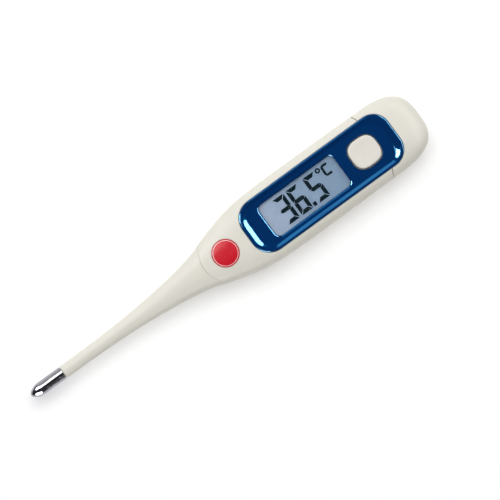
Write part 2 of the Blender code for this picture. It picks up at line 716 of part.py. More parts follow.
def make_sensor():
    """The bead in the tip, the plug of adhesive behind it and its two leads to the board."""
    bead_x, bead_length, bead_radius = -65.0, 0.85, 0.7
    angles = between(0, math.pi, 8)
    bead = [(bead_x - bead_length * math.cos(a), bead_radius * math.sin(a)) for a in angles]
    bead[0], bead[-1] = (bead_x - bead_length, 0), (bead_x + bead_length, 0)
    add_part("thermistor", turned(bead), "amber_epoxy")
    plug_radius = TIP_RADIUS - TIP_WALL - 0.12
    plug_ends = (-63.5, SPIGOT_FRONT_X - FIT_GAP)
    plug = [(plug_ends[0], 0), (plug_ends[0], plug_radius), (plug_ends[1], plug_radius), (plug_ends[1], 0)]
    adhesive = add_part("thermal_adhesive", turned(plug), "white_ceramic")
    lead_radius, spread = 0.2, 0.45
    for side, name in ((-1, "a"), (1, "b")):
        hole = [(-70, 0), (-70, lead_radius + 0.12), (-50, lead_radius + 0.12), (-50, 0)]
        cut(adhesive, f"lead_hole_{name}", turned(hole, centre=(0, side * spread, 0), steps=12))
        points = []
        for x in between(plug_ends[0], 5.2, 34):
            drift = 0.5 - 0.5 * math.cos(math.pi * min(max((x + 20) / 24, 0), 1))
            points.append((x, side * (spread + 0.75 * drift), 0.12 * drift))
        add_wire(f"thermistor_lead_{name}", points, lead_radius, "red_wire" if side < 0 else "black_plastic")


# ---------------------------------------------------------------- battery bay

def make_battery():
    """A button cell: a wide can under a slightly smaller lid."""
    low, top = BATTERY_LEVELS
    can, lid = (circle_outline((BATTERY_X, 0), BATTERY_RADIUS - inset, 28) for inset in (0.0, 0.45))
    foot = circle_outline((BATTERY_X, 0), BATTERY_RADIUS - 0.25, 28)
    levels = [(foot, low), (can, low + 0.25), (can, top - 0.6), (lid, top - 0.45), (lid, top)]
    add_part("battery", stepped_prism(levels), "polished_steel")


def make_battery_holder():
    """The carrier of the cell: open below, with a groove for the seal and a foot under the board."""
    low, top = HOLDER_LEVELS
    neck_levels = (low + NECK_CUT, top - NECK_CUT)
    neck = (SEAL_ENDS[0] - 0.2, SEAL_ENDS[1] + 0.2)

    def full(x):
        return section(x, HOLDER_INSET, HOLDER_LEVELS)

    def waist(x):
        return section(x, HOLDER_INSET + NECK_CUT, neck_levels)

    ends, middle = (51.9, 64.2), (low + top) / 2
    rings = [[(ends[0], 0.0, middle)], full(ends[0])]
    rings += [full(neck[0]), waist(neck[0]), waist(neck[1]), full(neck[1])]
    rings += [full(x) for x in (57.0, 60.0, 62.5, ends[1])]
    rings.append([(ends[1], 0.0, middle)])
    holder = add_part("battery_holder", loft(rings), "frame_plastic")
    join(holder, "foot", box((44.0, 52.2), (-5.0, 5.0), (low + 0.2, BOARD_LOW - 0.5)))
    pocket = circle_outline((BATTERY_X, 0), BATTERY_RADIUS + 0.2, 28)
    cut(holder, "cell_pocket", prism(pocket, -2 * BELLY, POCKET_TOP))
    slot = (CONTACT_LEVELS[0] - CONTACT_GAP, POCKET_TOP - 0.02)
    cut(holder, "negative_slot", box((50.0, 59.2), (-5.7, -3.5), slot))
    cut(holder, "positive_slot", box((50.0, 61.3), (3.5, 5.8), slot))
    cut(holder, "positive_recess", box((57.3, 61.3), (3.0, 4.5), (-3.4, slot[1])))


def make_contacts():
    """Two sheet-metal contacts from the cell to pads on the board."""
    front = 49.6
    arm = box((front, 59.0), (-5.5, -3.8), CONTACT_LEVELS)
    negative = add_part("battery_contact_negative", arm, "spring_steel")
    join(negative, "pad", box((57.5, 59.0), (-4.5, 1.2), CONTACT_LEVELS))
    arm = box((front, 61.0), (4.15, 5.6), CONTACT_LEVELS)
    positive = add_part("battery_contact_positive", arm, "spring_steel")
    join(positive, "leaf", box((57.6, 61.0), (4.15, 4.33), (-3.2, CONTACT_LEVELS[1])))


def make_cover_seal():
    """A rubber band in the holder's groove, under the seam of the cover."""
    low, top = HOLDER_LEVELS
    outer, inner = HOLDER_INSET - 0.15, HOLDER_INSET + NECK_CUT - 0.1
    outer_levels, inner_levels = (low - 0.3, top + 0.1), (low + NECK_CUT - 0.1, top - NECK_CUT + 0.1)
    rings = [section(x, outer, outer_levels) for x in SEAL_ENDS]
    rings += [section(x, inner, inner_levels) for x in reversed(SEAL_ENDS)]
    add_part("cover_seal", loft(rings, loop=True), "silicone")


clear_scene()
MADE = make_materials()
make_sensor_cap()
make_probe_sleeve()
make_front_housing()
make_rear_housing()
make_battery_cover()
make_bezel()
make_display_window()
make_badge()
make_power_button()
make_button_membrane()
make_switch()
make_display()
make_circuit_board()
make_board_parts()
make_buzzer()
make_sensor()
make_battery()
make_battery_holder()
make_contacts()
make_cover_seal()
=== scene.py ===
"""Looks of the digital pen thermometer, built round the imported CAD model.

The object lies on its belly with +X from the metal tip to the battery cover. Shapes are made in
millimetres, with heights measured from the plane where the two housings meet, and add_piece turns
both into the frame's metres.
"""

import json
import math

import bmesh
import bpy
from mathutils import Matrix, Vector

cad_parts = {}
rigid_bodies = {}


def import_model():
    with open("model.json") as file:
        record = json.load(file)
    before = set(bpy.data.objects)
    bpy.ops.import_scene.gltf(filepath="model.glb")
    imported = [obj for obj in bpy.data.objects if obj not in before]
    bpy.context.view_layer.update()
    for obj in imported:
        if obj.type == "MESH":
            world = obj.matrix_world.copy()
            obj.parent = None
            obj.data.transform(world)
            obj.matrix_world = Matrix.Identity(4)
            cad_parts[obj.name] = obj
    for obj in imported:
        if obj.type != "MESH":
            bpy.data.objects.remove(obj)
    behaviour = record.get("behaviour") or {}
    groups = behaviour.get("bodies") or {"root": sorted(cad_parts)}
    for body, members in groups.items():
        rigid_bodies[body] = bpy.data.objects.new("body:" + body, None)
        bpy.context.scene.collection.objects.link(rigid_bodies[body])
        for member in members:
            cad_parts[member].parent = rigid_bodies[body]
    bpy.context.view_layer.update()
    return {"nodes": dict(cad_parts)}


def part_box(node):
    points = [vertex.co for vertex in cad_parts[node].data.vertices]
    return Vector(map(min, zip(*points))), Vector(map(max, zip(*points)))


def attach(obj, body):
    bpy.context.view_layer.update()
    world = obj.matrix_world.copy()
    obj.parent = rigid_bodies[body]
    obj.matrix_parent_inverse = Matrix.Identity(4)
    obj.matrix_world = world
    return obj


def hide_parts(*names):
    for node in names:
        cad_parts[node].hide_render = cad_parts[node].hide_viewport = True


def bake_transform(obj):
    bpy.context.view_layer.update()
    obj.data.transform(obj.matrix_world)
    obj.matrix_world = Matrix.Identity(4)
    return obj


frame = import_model()
MM = 0.001


def corners(node):
    """The node's lowest and highest corner in millimetres, before heights are measured from the split."""
    return [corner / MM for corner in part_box(node)]


# ---------------------------------------------------------------- sizes that the frame gives

TIP, TUBE = corners("sensor_cap"), corners("probe_sleeve")
UPPER, LOWER, LID = corners("front_housing"), corners("rear_housing"), corners("battery_cover")
BEZEL, WINDOW, BUTTON = corners("bezel"), corners("display_window"), corners("power_button")
BADGE, FILM, CELL = corners("badge"), corners("lcd_front_polarizer"), corners("battery")
MEMBRANE = corners("button_membrane")

SPLIT = (UPPER[0].z + LOWER[1].z) / 2
SEAM_GAP = UPPER[0].z - LOWER[1].z
BELLY = SPLIT - LOWER[0].z
TIP_X, TAIL_X = TIP[0].x, LID[1].x
NECK_X = UPPER[0].x - SEAM_GAP / 2
CAP_X = LOWER[1].x + SEAM_GAP / 2

# ---------------------------------------------------------------- form of the body, as in the CAD

KINK_X = -7.0
PROBE_WIDTHS = ((-48.0, 1.97), (-36.0, 2.3), (-24.0, 3.2), (-14.0, 4.42), (KINK_X, 5.84))
BODY_WIDTHS = (
    (KINK_X, 5.84), (-3.0, 7.25), (2.0, 8.65), (7.0, 9.8), (12.0, 10.45), (20.0, 10.7), (44.0, 10.7),
    (52.0, 10.6),
)
HEIGHTS = (
    (-48.0, 1.97), (-36.0, 2.28), (-24.0, 2.95), (-12.0, 3.85), (0.0, 5.0), (10.0, 5.9), (18.0, 6.2),
    (44.0, 6.2), (52.0, 6.1),
)
SQUARENESS = ((-30.0, 2.0), (-12.0, 2.4), (2.0, 2.9), (14.0, 3.2))  # 2 is an ellipse, more is boxier
DOME_X, DOME_POWER = 52.0, 3.0
NECK_BOW, CAP_BOW, BOW_REACH = 2.4, -2.6, 8.0
WALL = 1.3
DECK_LOW, DECK_TOP = 3.1, 3.9
FLOOR = -BELLY + WALL
LIP = 0.16  # rounding along the moulded parting lines
NECK_LIP, NECK_GAP = 0.07, 0.06  # the joint between probe and body is closed almost flush
BELLY_EDGE = 0.1  # rounding where the sides turn into the flat belly

# ---------------------------------------------------------------- details

NOSE_LENGTH, NOSE_POWERS = 3.2, (1.7, 1.7)
TIP_WALL = 0.25
SPIGOT_RADIUS, BORE_RADIUS, SLEEVE_WALL = 1.43, 1.0, 0.9
SLEEVE_ROOF = 1.1  # wall above and below the sleeve's rear opening
BORE_STATIONS, BORE_TAPER = (-14.0, -35.0), 0.035

TONGUE_START, TONGUE_INSET, TONGUE_CORNER = 50.0, 0.15, 0.5  # shelf that carries the bezel's end
RIB_STATIONS, RIB_THICK, RIB_HALF = (16.5, 37.0), 0.8, 6.5
TAIL_START = 62.0  # from here the lid's rings crowd towards the end of the dome
CAVITY_STATIONS, CAVITY_TOP = (65.2, 64.2, 62.0, 59.0, 56.0), 1.0
NOTCH_LOW = 1.55
BADGE_GAP, BADGE_FILLET, BADGE_RECESS = 0.06, 0.12, 1.2

RIM_INSET, RIM_RISE = 0.55, 0.2
PANEL_INSETS = (3.5, 2.0, 3.3)  # from the CAD bezel at the display end, the sides and the button end
BEZEL_RADII, PANEL_RADII = (6.0, 5.4), (4.3, 4.0)
PANEL_TOP = 5.05
SLOPE_STRAIGHT = (0.25, 0.55)
REBATE_TOP = 4.55
POCKET_FILLET, POCKET_GAP = 0.22, 0.05
BEZEL_INSET = 0.15  # how far the blue frame and its recess are drawn in from the CAD bezel's outline

WINDOW_FLANGE, WINDOW_RADIUS, WINDOW_LIP, WINDOW_GAP = 1.3, 1.6, 0.65, 0.12
BUTTON_FLANGE, BUTTON_POWER, BUTTON_LIP, BUTTON_GAP = 0.6, 2.8, 0.22, 0.3
BUTTON_ROUND, BUTTON_DISH = 0.5, 0.12
MEMBRANE_CHAMFER = 0.7
INK = 0.02  # thickness of the printed and displayed marks

RING_POINTS = 128
HALF_POINTS = 72
CORNER_STEPS = 18
SIDE_STEPS = 40
SHARP_ANGLE = math.radians(38)


# ---------------------------------------------------------------- form functions

def smooth_value(points, x):
    """The value at x of a smooth curve through the points, held level beyond both ends."""
    if x <= points[0][0]:
        return points[0][1]
    if x >= points[-1][0]:
        return points[-1][1]
    i = max(k for k, point in enumerate(points) if point[0] <= x)
    span = points[i + 1][0] - points[i][0]
    slopes = [slope_at(points, k) * span for k in (i, i + 1)]
    t = (x - points[i][0]) / span
    start, end = points[i][1], points[i + 1][1]
    rise = (3 - 2 * t) * t * t
    return start + (end - start) * rise + slopes[0] * t * (1 - t) ** 2 - slopes[1] * t * t * (1 - t)


def slope_at(points, k):
    before = points[max(k - 1, 0)]
    after = points[min(k + 1, len(points) - 1)]
    return (after[1] - before[1]) / (after[0] - before[0])


def dome_scale(x):
    """How far the round tail has shrunk the section at x."""
    part = min(max((x - DOME_X) / (TAIL_X - DOME_X), 0.0), 1.0)
    return (1 - part ** DOME_POWER) ** (1 / DOME_POWER)


def half_width(x):
    widths = PROBE_WIDTHS if x < KINK_X else BODY_WIDTHS
    return smooth_value(widths, x) * dome_scale(x)


def half_height(x):
    return smooth_value(HEIGHTS, x) * dome_scale(x)


def surface_height(x, y):
    """Height of the body's upper surface over (x, y)."""
    power = smooth_value(SQUARENESS, x)
    inside = max(1 - abs(y / half_width(x)) ** power, 0.0)
    return half_height(x) * inside ** (1 / power)


def fade(distance):
    """1 at a bowed seam, falling smoothly to 0 at the end of its reach."""
    return max(1 - distance / BOW_REACH, 0.0) ** 2


def bow_at(x):
    return NECK_BOW * fade(abs(x - NECK_X)) + CAP_BOW * fade(abs(x - CAP_X))


def soft_floor(value, floor, width):
    """The value, eased so that it never drops below the floor."""
    if value - floor > 20 * width:
        return value
    return floor + width * math.log1p(math.exp((value - floor) / width))


def even_points(points, count):
    """The polyline divided into count equal lengths."""
    lengths = [0.0]
    for start, end in zip(points, points[1:]):
        lengths.append(lengths[-1] + math.dist(start, end))
    spread, i = [], 0
    for k in range(count + 1):
        wanted = lengths[-1] * k / count
        while i < len(points) - 2 and lengths[i + 1] < wanted:
            i += 1
        span = lengths[i + 1] - lengths[i]
        t = (wanted - lengths[i]) / span if span else 0.0
        spread.append(tuple(a + (b - a) * t for a, b in zip(points[i], points[i + 1])))
    return spread


def section_line(x, inset, levels, bow, turn, count, soft):
    """Evenly spaced points along the body's section at x, from one angle to another."""
    power = smooth_value(SQUARENESS, x)
    points = []
    for k in range(3 * count + 1):
        angle = turn[0] + (turn[1] - turn[0]) * k / (3 * count)
        across, up = math.cos(angle), math.sin(angle)
        reach = (abs(across) ** power + abs(up) ** power) ** (-1 / power)
        station = x + bow * (across * reach) ** 2
        width = (half_width(station) - inset) * across * reach
        height = (half_height(station) - inset) * up * reach
        height = soft_floor(height, levels[0], BELLY_EDGE) if soft else max(height, levels[0])
        points.append((station, width, min(height, levels[1])))
    return even_points(points, count)


def section_ring(x, inset=0.0, levels=(-SPLIT, SPLIT * 2), bow=0.0, soft=False):
    return section_line(x, inset, levels, bow, (0.0, 2 * math.pi), RING_POINTS, soft)[:-1]


def circle_ring(x, radius):
    angles = [2 * math.pi * k / RING_POINTS for k in range(RING_POINTS)]
    return [(x, radius * math.cos(a), radius * math.sin(a)) for a in angles]


def steps_between(start, end, step):
    count = max(int(abs(end - start) / step), 1)
    return [start + (end - start) * k / count for k in range(count + 1)]


def quarter(count=4):
    """(how far along, how far in) for the points of a quarter round, from its end face to its side."""
    turns = [math.pi / 2 * k / count for k in range(count + 1)]
    return [(1 - math.cos(a), 1 - math.sin(a)) for a in turns]


# ---------------------------------------------------------------- outlines in plan

def arc(centre, radius, first, steps=CORNER_STEPS):
    angles = [math.radians(first + 90 * k / steps) for k in range(steps + 1)]
    return [(centre[0] + radius * math.cos(a), centre[1] + radius * math.sin(a)) for a in angles]


def straight(start, end, steps):
    """The points between two ends, without the ends."""
    return [
        (start[0] + (end[0] - start[0]) * k / steps, start[1] + (end[1] - start[1]) * k / steps)
        for k in range(1, steps)
    ]


def rounded_outline(ends, half, radii, grow=0.0, side_steps=SIDE_STEPS, end_steps=12):
    """A rectangle with round corners, one radius at each end, as (x, y) points anticlockwise."""
    low, high = ends[0] - grow, ends[1] + grow
    half = half + grow
    near, far = radii[0] + grow, radii[1] + grow
    upper = arc((high - far, half - far), far, 0)
    upper += straight((high - far, half), (low + near, half), side_steps)
    upper += arc((low + near, half - near), near, 90)
    lower = [(x, -y) for x, y in reversed(upper)]
    near_end = straight(upper[-1], lower[0], end_steps)
    far_end = straight(lower[-1], upper[0], end_steps)
    return upper + near_end + lower + far_end


def oval_outline(centre_x, halves, power, grow=0.0, count=112):
    """A square with fully rounded sides, as (x, y) points anticlockwise."""
    points = []
    for k in range(3 * count + 1):
        across, up = math.cos(2 * math.pi * k / (3 * count)), math.sin(2 * math.pi * k / (3 * count))
        reach = (abs(across) ** power + abs(up) ** power) ** (-1 / power)
        points.append((centre_x + (halves[0] + grow) * across * reach, (halves[1] + grow) * up * reach))
    return even_points(points, count)[:-1]


def circle_outline(centre, radius, count=96):
    angles = [2 * math.pi * (k + 0.5) / count for k in range(count)]
    return [(centre[0] + radius * math.cos(a), centre[1] + radius * math.sin(a)) for a in angles]


def mix_outline(first, second, part):
    return [(a[0] + (b[0] - a[0]) * part, a[1] + (b[1] - a[1]) * part) for a, b in zip(first, second)]


# ---------------------------------------------------------------- solids

def loft(rings, loop=False):
    """One closed skin through the rings. A ring of one point is a pole; loop joins last to first."""
    bm = bmesh.new()
    rows = [[bm.verts.new(point) for point in ring] for ring in rings]
    pairs = list(zip(rows, rows[1:]))
    if loop:
        pairs.append((rows[-1], rows[0]))
    for first, second in pairs:
        join_rings(bm, first, second)
    if not loop:
        for row in (rows[0], rows[-1]):
            if len(row) > 1:
                bm.faces.new(row)
    bmesh.ops.recalc_face_normals(bm, faces=bm.faces)
    return bm


def join_rings(bm, first, second):
    count = max(len(first), len(second))
    if count == 1:
        return
    for k in range(count):
        following = (k + 1) % count
        ring_corners = [first[k % len(first)], first[following % len(first)]]
        ring_corners += [second[following % len(second)], second[k % len(second)]]
        bm.faces.new(list(dict.fromkeys(ring_corners)))


def thick_sheet(outer, inner):
    """A solid between two grids of the same size, closed along all four edges."""
    bm = bmesh.new()
    top = [[bm.verts.new(point) for point in row] for row in outer]
    low = [[bm.verts.new(point) for point in row] for row in inner]
    for i in range(len(top) - 1):
        for k in range(len(top[0]) - 1):
            bm.faces.new((top[i][k], top[i + 1][k], top[i + 1][k + 1], top[i][k + 1]))
            bm.faces.new((low[i][k], low[i][k + 1], low[i + 1][k + 1], low[i + 1][k]))
    top_rim, low_rim = rim_of(top), rim_of(low)
    for k in range(len(top_rim)):
        following = (k + 1) % len(top_rim)
        bm.faces.new((top_rim[k], top_rim[following], low_rim[following], low_rim[k]))
    bmesh.ops.recalc_face_normals(bm, faces=bm.faces)
    return bm


def rim_of(grid):
    """The grid's outer vertices, in order round its edge."""
    left = [row[-1] for row in grid[1:-1]]
    right = [row[0] for row in reversed(grid[1:-1])]
    return list(grid[0]) + left + list(reversed(grid[-1])) + right


def at_height(outline, z):
    return [(x, y, z) for x, y in outline]


def prism(outline, low, top):
    return loft([at_height(outline, low), at_height(outline, top)])


def box(x, y, z):
    return prism([(x[0], y[0]), (x[1], y[0]), (x[1], y[1]), (x[0], y[1])], *z)


def turned(profile):
    """A solid of revolution about the probe's axis. The profile is (x, radius) points in a loop."""
    rings = [circle_ring(x, r) if r else [(x, 0.0, 0.0)] for x, r in profile]
    poles = profile[0][1] == 0 and profile[-1][1] == 0
    return loft(rings, loop=not poles)


def flared_cutter(outline_at, height_at, fillet, low, top):
    """A straight cut through a surface that leaves a rounded lip. outline_at grows the cut outward."""
    def ring(grow, drop):
        return [(x, y, height_at(x, y) - drop) for x, y in outline_at(grow)]

    rings = [at_height(outline_at(0.0), low)]
    rings += [ring(fillet * along, fillet * inside) for along, inside in quarter(6)[:-1]]
    last_along, last_inside = quarter(6)[-2]
    rings.append(ring(fillet * last_along + 0.4, fillet * last_inside - 0.16))
    rings.append(at_height(outline_at(fillet * last_along + 0.4), top))
    return loft(rings)


# ---------------------------------------------------------------- pieces

def new_object(name, bm, triangles=False):
    if triangles:
        bmesh.ops.triangulate(bm, faces=bm.faces)
    bmesh.ops.translate(bm, vec=(0, 0, SPLIT), verts=bm.verts)
    bmesh.ops.scale(bm, vec=(MM, MM, MM), verts=bm.verts)
    mesh = bpy.data.meshes.new(name)
    bm.to_mesh(mesh)
    bm.free()
    obj = bpy.data.objects.new(name, mesh)
    bpy.context.scene.collection.objects.link(obj)
    return obj


def finish_mesh(obj, cuts=(), joins=()):
    """Cuts and joins the solids, then shades the result smooth up to its real edges."""
    tools = [(bm, "UNION") for bm in joins] + [(bm, "DIFFERENCE") for bm in cuts]
    made = []
    for bm, operation in tools:
        tool = new_object("tool", bm, triangles=True)
        made.append(tool)
        modifier = obj.modifiers.new(operation, "BOOLEAN")
        modifier.operation = operation
        modifier.solver = "MANIFOLD"
        modifier.object = tool
    if made:
        graph = bpy.context.evaluated_depsgraph_get()
        whole = bpy.data.meshes.new_from_object(obj.evaluated_get(graph))
        whole.name = obj.name
        obj.modifiers.clear()
        obj.data = whole
        for tool in made:
            bpy.data.objects.remove(tool, do_unlink=True)
    obj.data.shade_smooth()
    obj.data.set_sharp_from_angle(angle=SHARP_ANGLE)
    weighted = obj.modifiers.new("weighted_normals", "WEIGHTED_NORMAL")
    weighted.keep_sharp = True
    weighted.weight = 80


def add_piece(name, bm, look, body, stands_for=(), cuts=(), joins=()):
    """A finished piece that rides the body. Without a body, the piece is left unattached."""
    obj = new_object(name, bm, triangles=bool(cuts or joins))
    finish_mesh(obj, cuts, joins)
    obj.data.materials.clear()
    obj.data.materials.append(look)
    if body:
        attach(obj, body)
    if stands_for:
        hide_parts(*stands_for)
    return obj


# ---------------------------------------------------------------- materials

def new_look(name):
    material = bpy.data.materials.new(name)
    material.use_nodes = True
    tree = material.node_tree
    return material, tree, tree.nodes["Principled BSDF"]


def noise_of(tree, scale, detail=3.0, stretch=(1.0, 1.0, 1.0)):
    """The factor of a noise texture in the object's own coordinates. The scale is per metre."""
    place = tree.nodes.new("ShaderNodeTexCoord")
    mapping = tree.nodes.new("ShaderNodeMapping")
    mapping.inputs["Scale"].default_value = stretch
    noise = tree.nodes.new("ShaderNodeTexNoise")
    noise.inputs["Scale"].default_value = scale
    noise.inputs["Detail"].default_value = detail
    tree.links.new(place.outputs["Object"], mapping.inputs["Vector"])
    tree.links.new(mapping.outputs["Vector"], noise.inputs["Vector"])
    return noise.outputs["Fac"]


def ramp_of(tree, factor, stops):
    """A colour ramp over the factor. Each stop is (position, colour)."""
    ramp = tree.nodes.new("ShaderNodeValToRGB")
    elements = ramp.color_ramp.elements
    while len(elements) < len(stops):
        elements.new(0.5)
    for element, (position, colour) in zip(elements, stops):
        element.position = position
        element.color = (*colour, 1.0)
    tree.links.new(factor, ramp.inputs["Fac"])
    return ramp.outputs["Color"]


def range_of(tree, factor, low, high):
    """The factor from 0.3 to 0.7, which holds most of a noise, stretched to low to high."""
    node = tree.nodes.new("ShaderNodeMapRange")
    node.inputs["From Min"].default_value = 0.3
    node.inputs["From Max"].default_value = 0.7
    node.inputs["To Min"].default_value = low
    node.inputs["To Max"].default_value = high
    tree.links.new(factor, node.inputs["Value"])
    return node.outputs["Result"]


def bump_of(tree, shader, factor, depth, strength):
    bump = tree.nodes.new("ShaderNodeBump")
    bump.inputs["Distance"].default_value = depth
    bump.inputs["Strength"].default_value = strength
    tree.links.new(factor, bump.inputs["Height"])
    tree.links.new(bump.outputs["Normal"], shader.inputs["Normal"])


def shade(colour, factor):
    return tuple(channel * factor for channel in colour)


def surface_look(name, colour, roughness, grain, depth, metallic=0.0, vary=0.04, stretch=(1, 1, 1), **extra):
    """A solid surface: slow colour drift, uneven gloss and a fine grain in relief."""
    material, tree, shader = new_look(name)
    drift = noise_of(tree, 90.0, 4.0)
    stops = [(0.3, shade(colour, 1 - vary)), (0.7, shade(colour, 1 + vary))]
    tree.links.new(ramp_of(tree, drift, stops), shader.inputs["Base Color"])
    fine = noise_of(tree, grain, 2.0, stretch)
    tree.links.new(range_of(tree, fine, *roughness), shader.inputs["Roughness"])
    bump_of(tree, shader, fine, depth * MM, 0.5)
    shader.inputs["Metallic"].default_value = metallic
    for socket, value in extra.items():
        shader.inputs[socket.replace("_", " ")].default_value = value
    return material


IVORY = (0.825, 0.80, 0.71)


def make_looks():
    looks = {
        "ivory": surface_look(
            "ivory_plastic", IVORY, (0.42, 0.55), 5200, 0.012, vary=0.012, Specular_IOR_Level=0.14
        ),
        "button": surface_look(
            "button_plastic", (0.84, 0.805, 0.725), (0.4, 0.52), 5200, 0.01,
            vary=0.012, Specular_IOR_Level=0.14,
        ),
        "blue": surface_look(
            "blue_plastic", (0.0004, 0.028, 0.135), (0.06, 0.12), 700, 0.002, vary=0.05,
            Specular_Tint=(0.01, 0.55, 1.0, 1.0), Specular_IOR_Level=0.9,
            Coat_Weight=0.5, Coat_Roughness=0.04,
        ),
        "steel": surface_look(
            "polished_steel", (0.34, 0.34, 0.37), (0.08, 0.16), 2600, 0.0012,
            metallic=1.0, vary=0.02, stretch=(0.15, 1, 1),
        ),
        "red": surface_look(
            "red_print", (0.70, 0.008, 0.024), (0.16, 0.3), 2500, 0.004, vary=0.06, Specular_IOR_Level=0.3
        ),
        "ring": surface_look("badge_ring", (0.86, 0.72, 0.70), (0.3, 0.42), 2500, 0.003, vary=0.02),
        "ink": surface_look(
            "display_ink", (0.0015, 0.009, 0.014), (0.12, 0.2), 3000, 0.0005,
            vary=0.1, Specular_IOR_Level=0.1,
        ),
        "cell": surface_look("cell_steel", (0.58, 0.57, 0.55), (0.2, 0.34), 3000, 0.003, 1.0, 0.03),
        "spring": surface_look("spring_steel", (0.55, 0.53, 0.49), (0.25, 0.4), 2500, 0.003, 1.0, 0.04),
        "brass": surface_look("brass_sheet", (0.62, 0.44, 0.17), (0.25, 0.42), 1800, 0.004, 1.0, 0.06),
        "ceramic": surface_look("white_ceramic", (0.74, 0.73, 0.69), (0.45, 0.6), 4000, 0.006, vary=0.03),
        "laminate": surface_look("board_laminate", (0.015, 0.14, 0.05), (0.3, 0.5), 1500, 0.012, vary=0.18),
        "epoxy": surface_look("black_epoxy", (0.012, 0.012, 0.014), (0.3, 0.5), 1500, 0.02, vary=0.2),
        "amber": surface_look("amber_epoxy", (0.4, 0.19, 0.035), (0.2, 0.35), 2500, 0.006, vary=0.12),
        "glass": surface_look("display_glass", (0.45, 0.5, 0.53), (0.03, 0.08), 900, 0.001, vary=0.02),
        "frame": surface_look("frame_plastic", (0.62, 0.62, 0.6), (0.42, 0.56), 4200, 0.015, vary=0.02),
        "rubber": surface_look("conductive_rubber", (0.55, 0.26, 0.28), (0.6, 0.8), 3000, 0.02, vary=0.06),
        "silicone": surface_look("silicone", (0.48, 0.5, 0.53), (0.45, 0.65), 2600, 0.015, vary=0.03),
        "red_wire": surface_look("red_wire", (0.5, 0.02, 0.02), (0.35, 0.5), 3000, 0.01, vary=0.05),
        "black_wire": surface_look("black_wire", (0.02, 0.02, 0.022), (0.35, 0.5), 3000, 0.01, vary=0.1),
    }
    looks["film"] = film_look()
    looks["clear"] = clear_look()
    return looks


def film_look():
    """The display's polarizer: a blue-grey with painted shade, lighter towards the tip and darker towards
    the button end as the light falls across it, with a fine speckle.
    """
    material, tree, shader = new_look("grey_film")
    place = tree.nodes.new("ShaderNodeTexCoord")
    split = tree.nodes.new("ShaderNodeSeparateXYZ")
    tree.links.new(place.outputs["Object"], split.inputs["Vector"])
    along = tree.nodes.new("ShaderNodeMapRange")
    along.inputs["From Min"].default_value = FILM[0].x * MM
    along.inputs["From Max"].default_value = FILM[1].x * MM
    tree.links.new(split.outputs["X"], along.inputs["Value"])
    # painted shade: this ramp along x stands in for the light falling off across the display
    stops = [(0.0, (0.34, 0.405, 0.52)), (0.45, (0.215, 0.30, 0.41)), (1.0, (0.19, 0.275, 0.385))]
    painted_shade_tone = ramp_of(tree, along.outputs["Result"], stops)
    speckle = ramp_of(tree, noise_of(tree, 6000, 1.0), [(0.3, (0.95, 0.95, 0.95)), (0.7, (1.0, 1.0, 1.0))])
    mix = tree.nodes.new("ShaderNodeMix")
    mix.data_type = "RGBA"
    mix.blend_type = "MULTIPLY"
    mix.inputs["Factor"].default_value = 1.0
    tree.links.new(painted_shade_tone, mix.inputs[6])
    tree.links.new(speckle, mix.inputs[7])
    tree.links.new(mix.outputs[2], shader.inputs["Base Color"])
    shader.inputs["Roughness"].default_value = 0.2
    shader.inputs["Specular IOR Level"].default_value = 0.2
    return material


def clear_look():
    """Clear acrylic. It lets most of the light straight through to the display."""
    material, tree, shader = new_look("clear_plastic")
    shader.inputs["Base Color"].default_value = (0.95, 0.97, 1.0, 1.0)
    shader.inputs["Transmission Weight"].default_value = 1.0
    shader.inputs["IOR"].default_value = 1.49
    shader.inputs["Alpha"].default_value = 0.1
    fine = noise_of(tree, 900, 2.0)
    tree.links.new(range_of(tree, fine, 0.015, 0.05), shader.inputs["Roughness"])
    return material


# ---------------------------------------------------------------- tip and probe

def nose_profile(radius, length, start):
    """(x, radius) points from the point of the nose back to its full width."""
    sharp, full = NOSE_POWERS
    points = [(start, 0.0)]
    for k in range(1, 25):
        t = (k / 24) ** 1.6
        points.append((start + length * t, radius * (1 - (1 - t) ** sharp) ** (1 / full)))
    return points


def make_sensor_tip(looks):
    radius = TIP[1].z - SPLIT
    outer = nose_profile(radius, NOSE_LENGTH, TIP_X)
    inner = nose_profile(radius - TIP_WALL, NOSE_LENGTH - TIP_WALL, TIP_X + TIP_WALL)
    end = TIP[1].x
    edge = 0.06
    body = [(x, radius) for x in steps_between(outer[-1][0] + 0.4, end - 0.3, 0.8)]
    mouth = [(end - edge, radius), (end, radius - edge), (end, radius - TIP_WALL)]
    add_piece("sensor_tip", turned(outer + body + mouth + inner[::-1]), looks["steel"], "body",
              ["sensor_cap"])


def make_probe_tube(looks):
    front, start = TUBE[0].x, TIP[1].x + SEAM_GAP
    edge = 0.1
    rings = [circle_ring(front, SPIGOT_RADIUS), circle_ring(start, SPIGOT_RADIUS)]
    rings += [section_ring(start + edge * along, edge * inside) for along, inside in quarter(3)]
    seam = NECK_X - NECK_GAP / 2
    rings += [section_ring(x, bow=bow_at(x)) for x in steps_between(start + 0.6, seam - 3 * NECK_LIP, 0.6)]
    rings += [
        section_ring(seam - NECK_LIP * along, NECK_LIP * inside, bow=NECK_BOW)
        for along, inside in reversed(quarter())
    ]
    lap = WALL + SEAM_GAP
    levels = (FLOOR + SEAM_GAP, DECK_LOW - SEAM_GAP)
    rear = TUBE[1].x
    rings.append(section_ring(seam, lap, levels, NECK_BOW))
    rings.append(section_ring(rear, lap, levels))
    bore = lap + SLEEVE_WALL
    rings.append(section_ring(rear, bore, (FLOOR + SLEEVE_ROOF, DECK_LOW - SLEEVE_ROOF)))
    rings.append(section_ring(NECK_X, bore, bow=NECK_BOW))
    rings += [circle_ring(x, BORE_RADIUS + BORE_TAPER * (x - start)) for x in BORE_STATIONS]
    rings.append(circle_ring(front, BORE_RADIUS))
    add_piece("probe_tube", loft(rings, loop=True), looks["ivory"], "body",
              ["probe_sleeve"])


# ---------------------------------------------------------------- housings

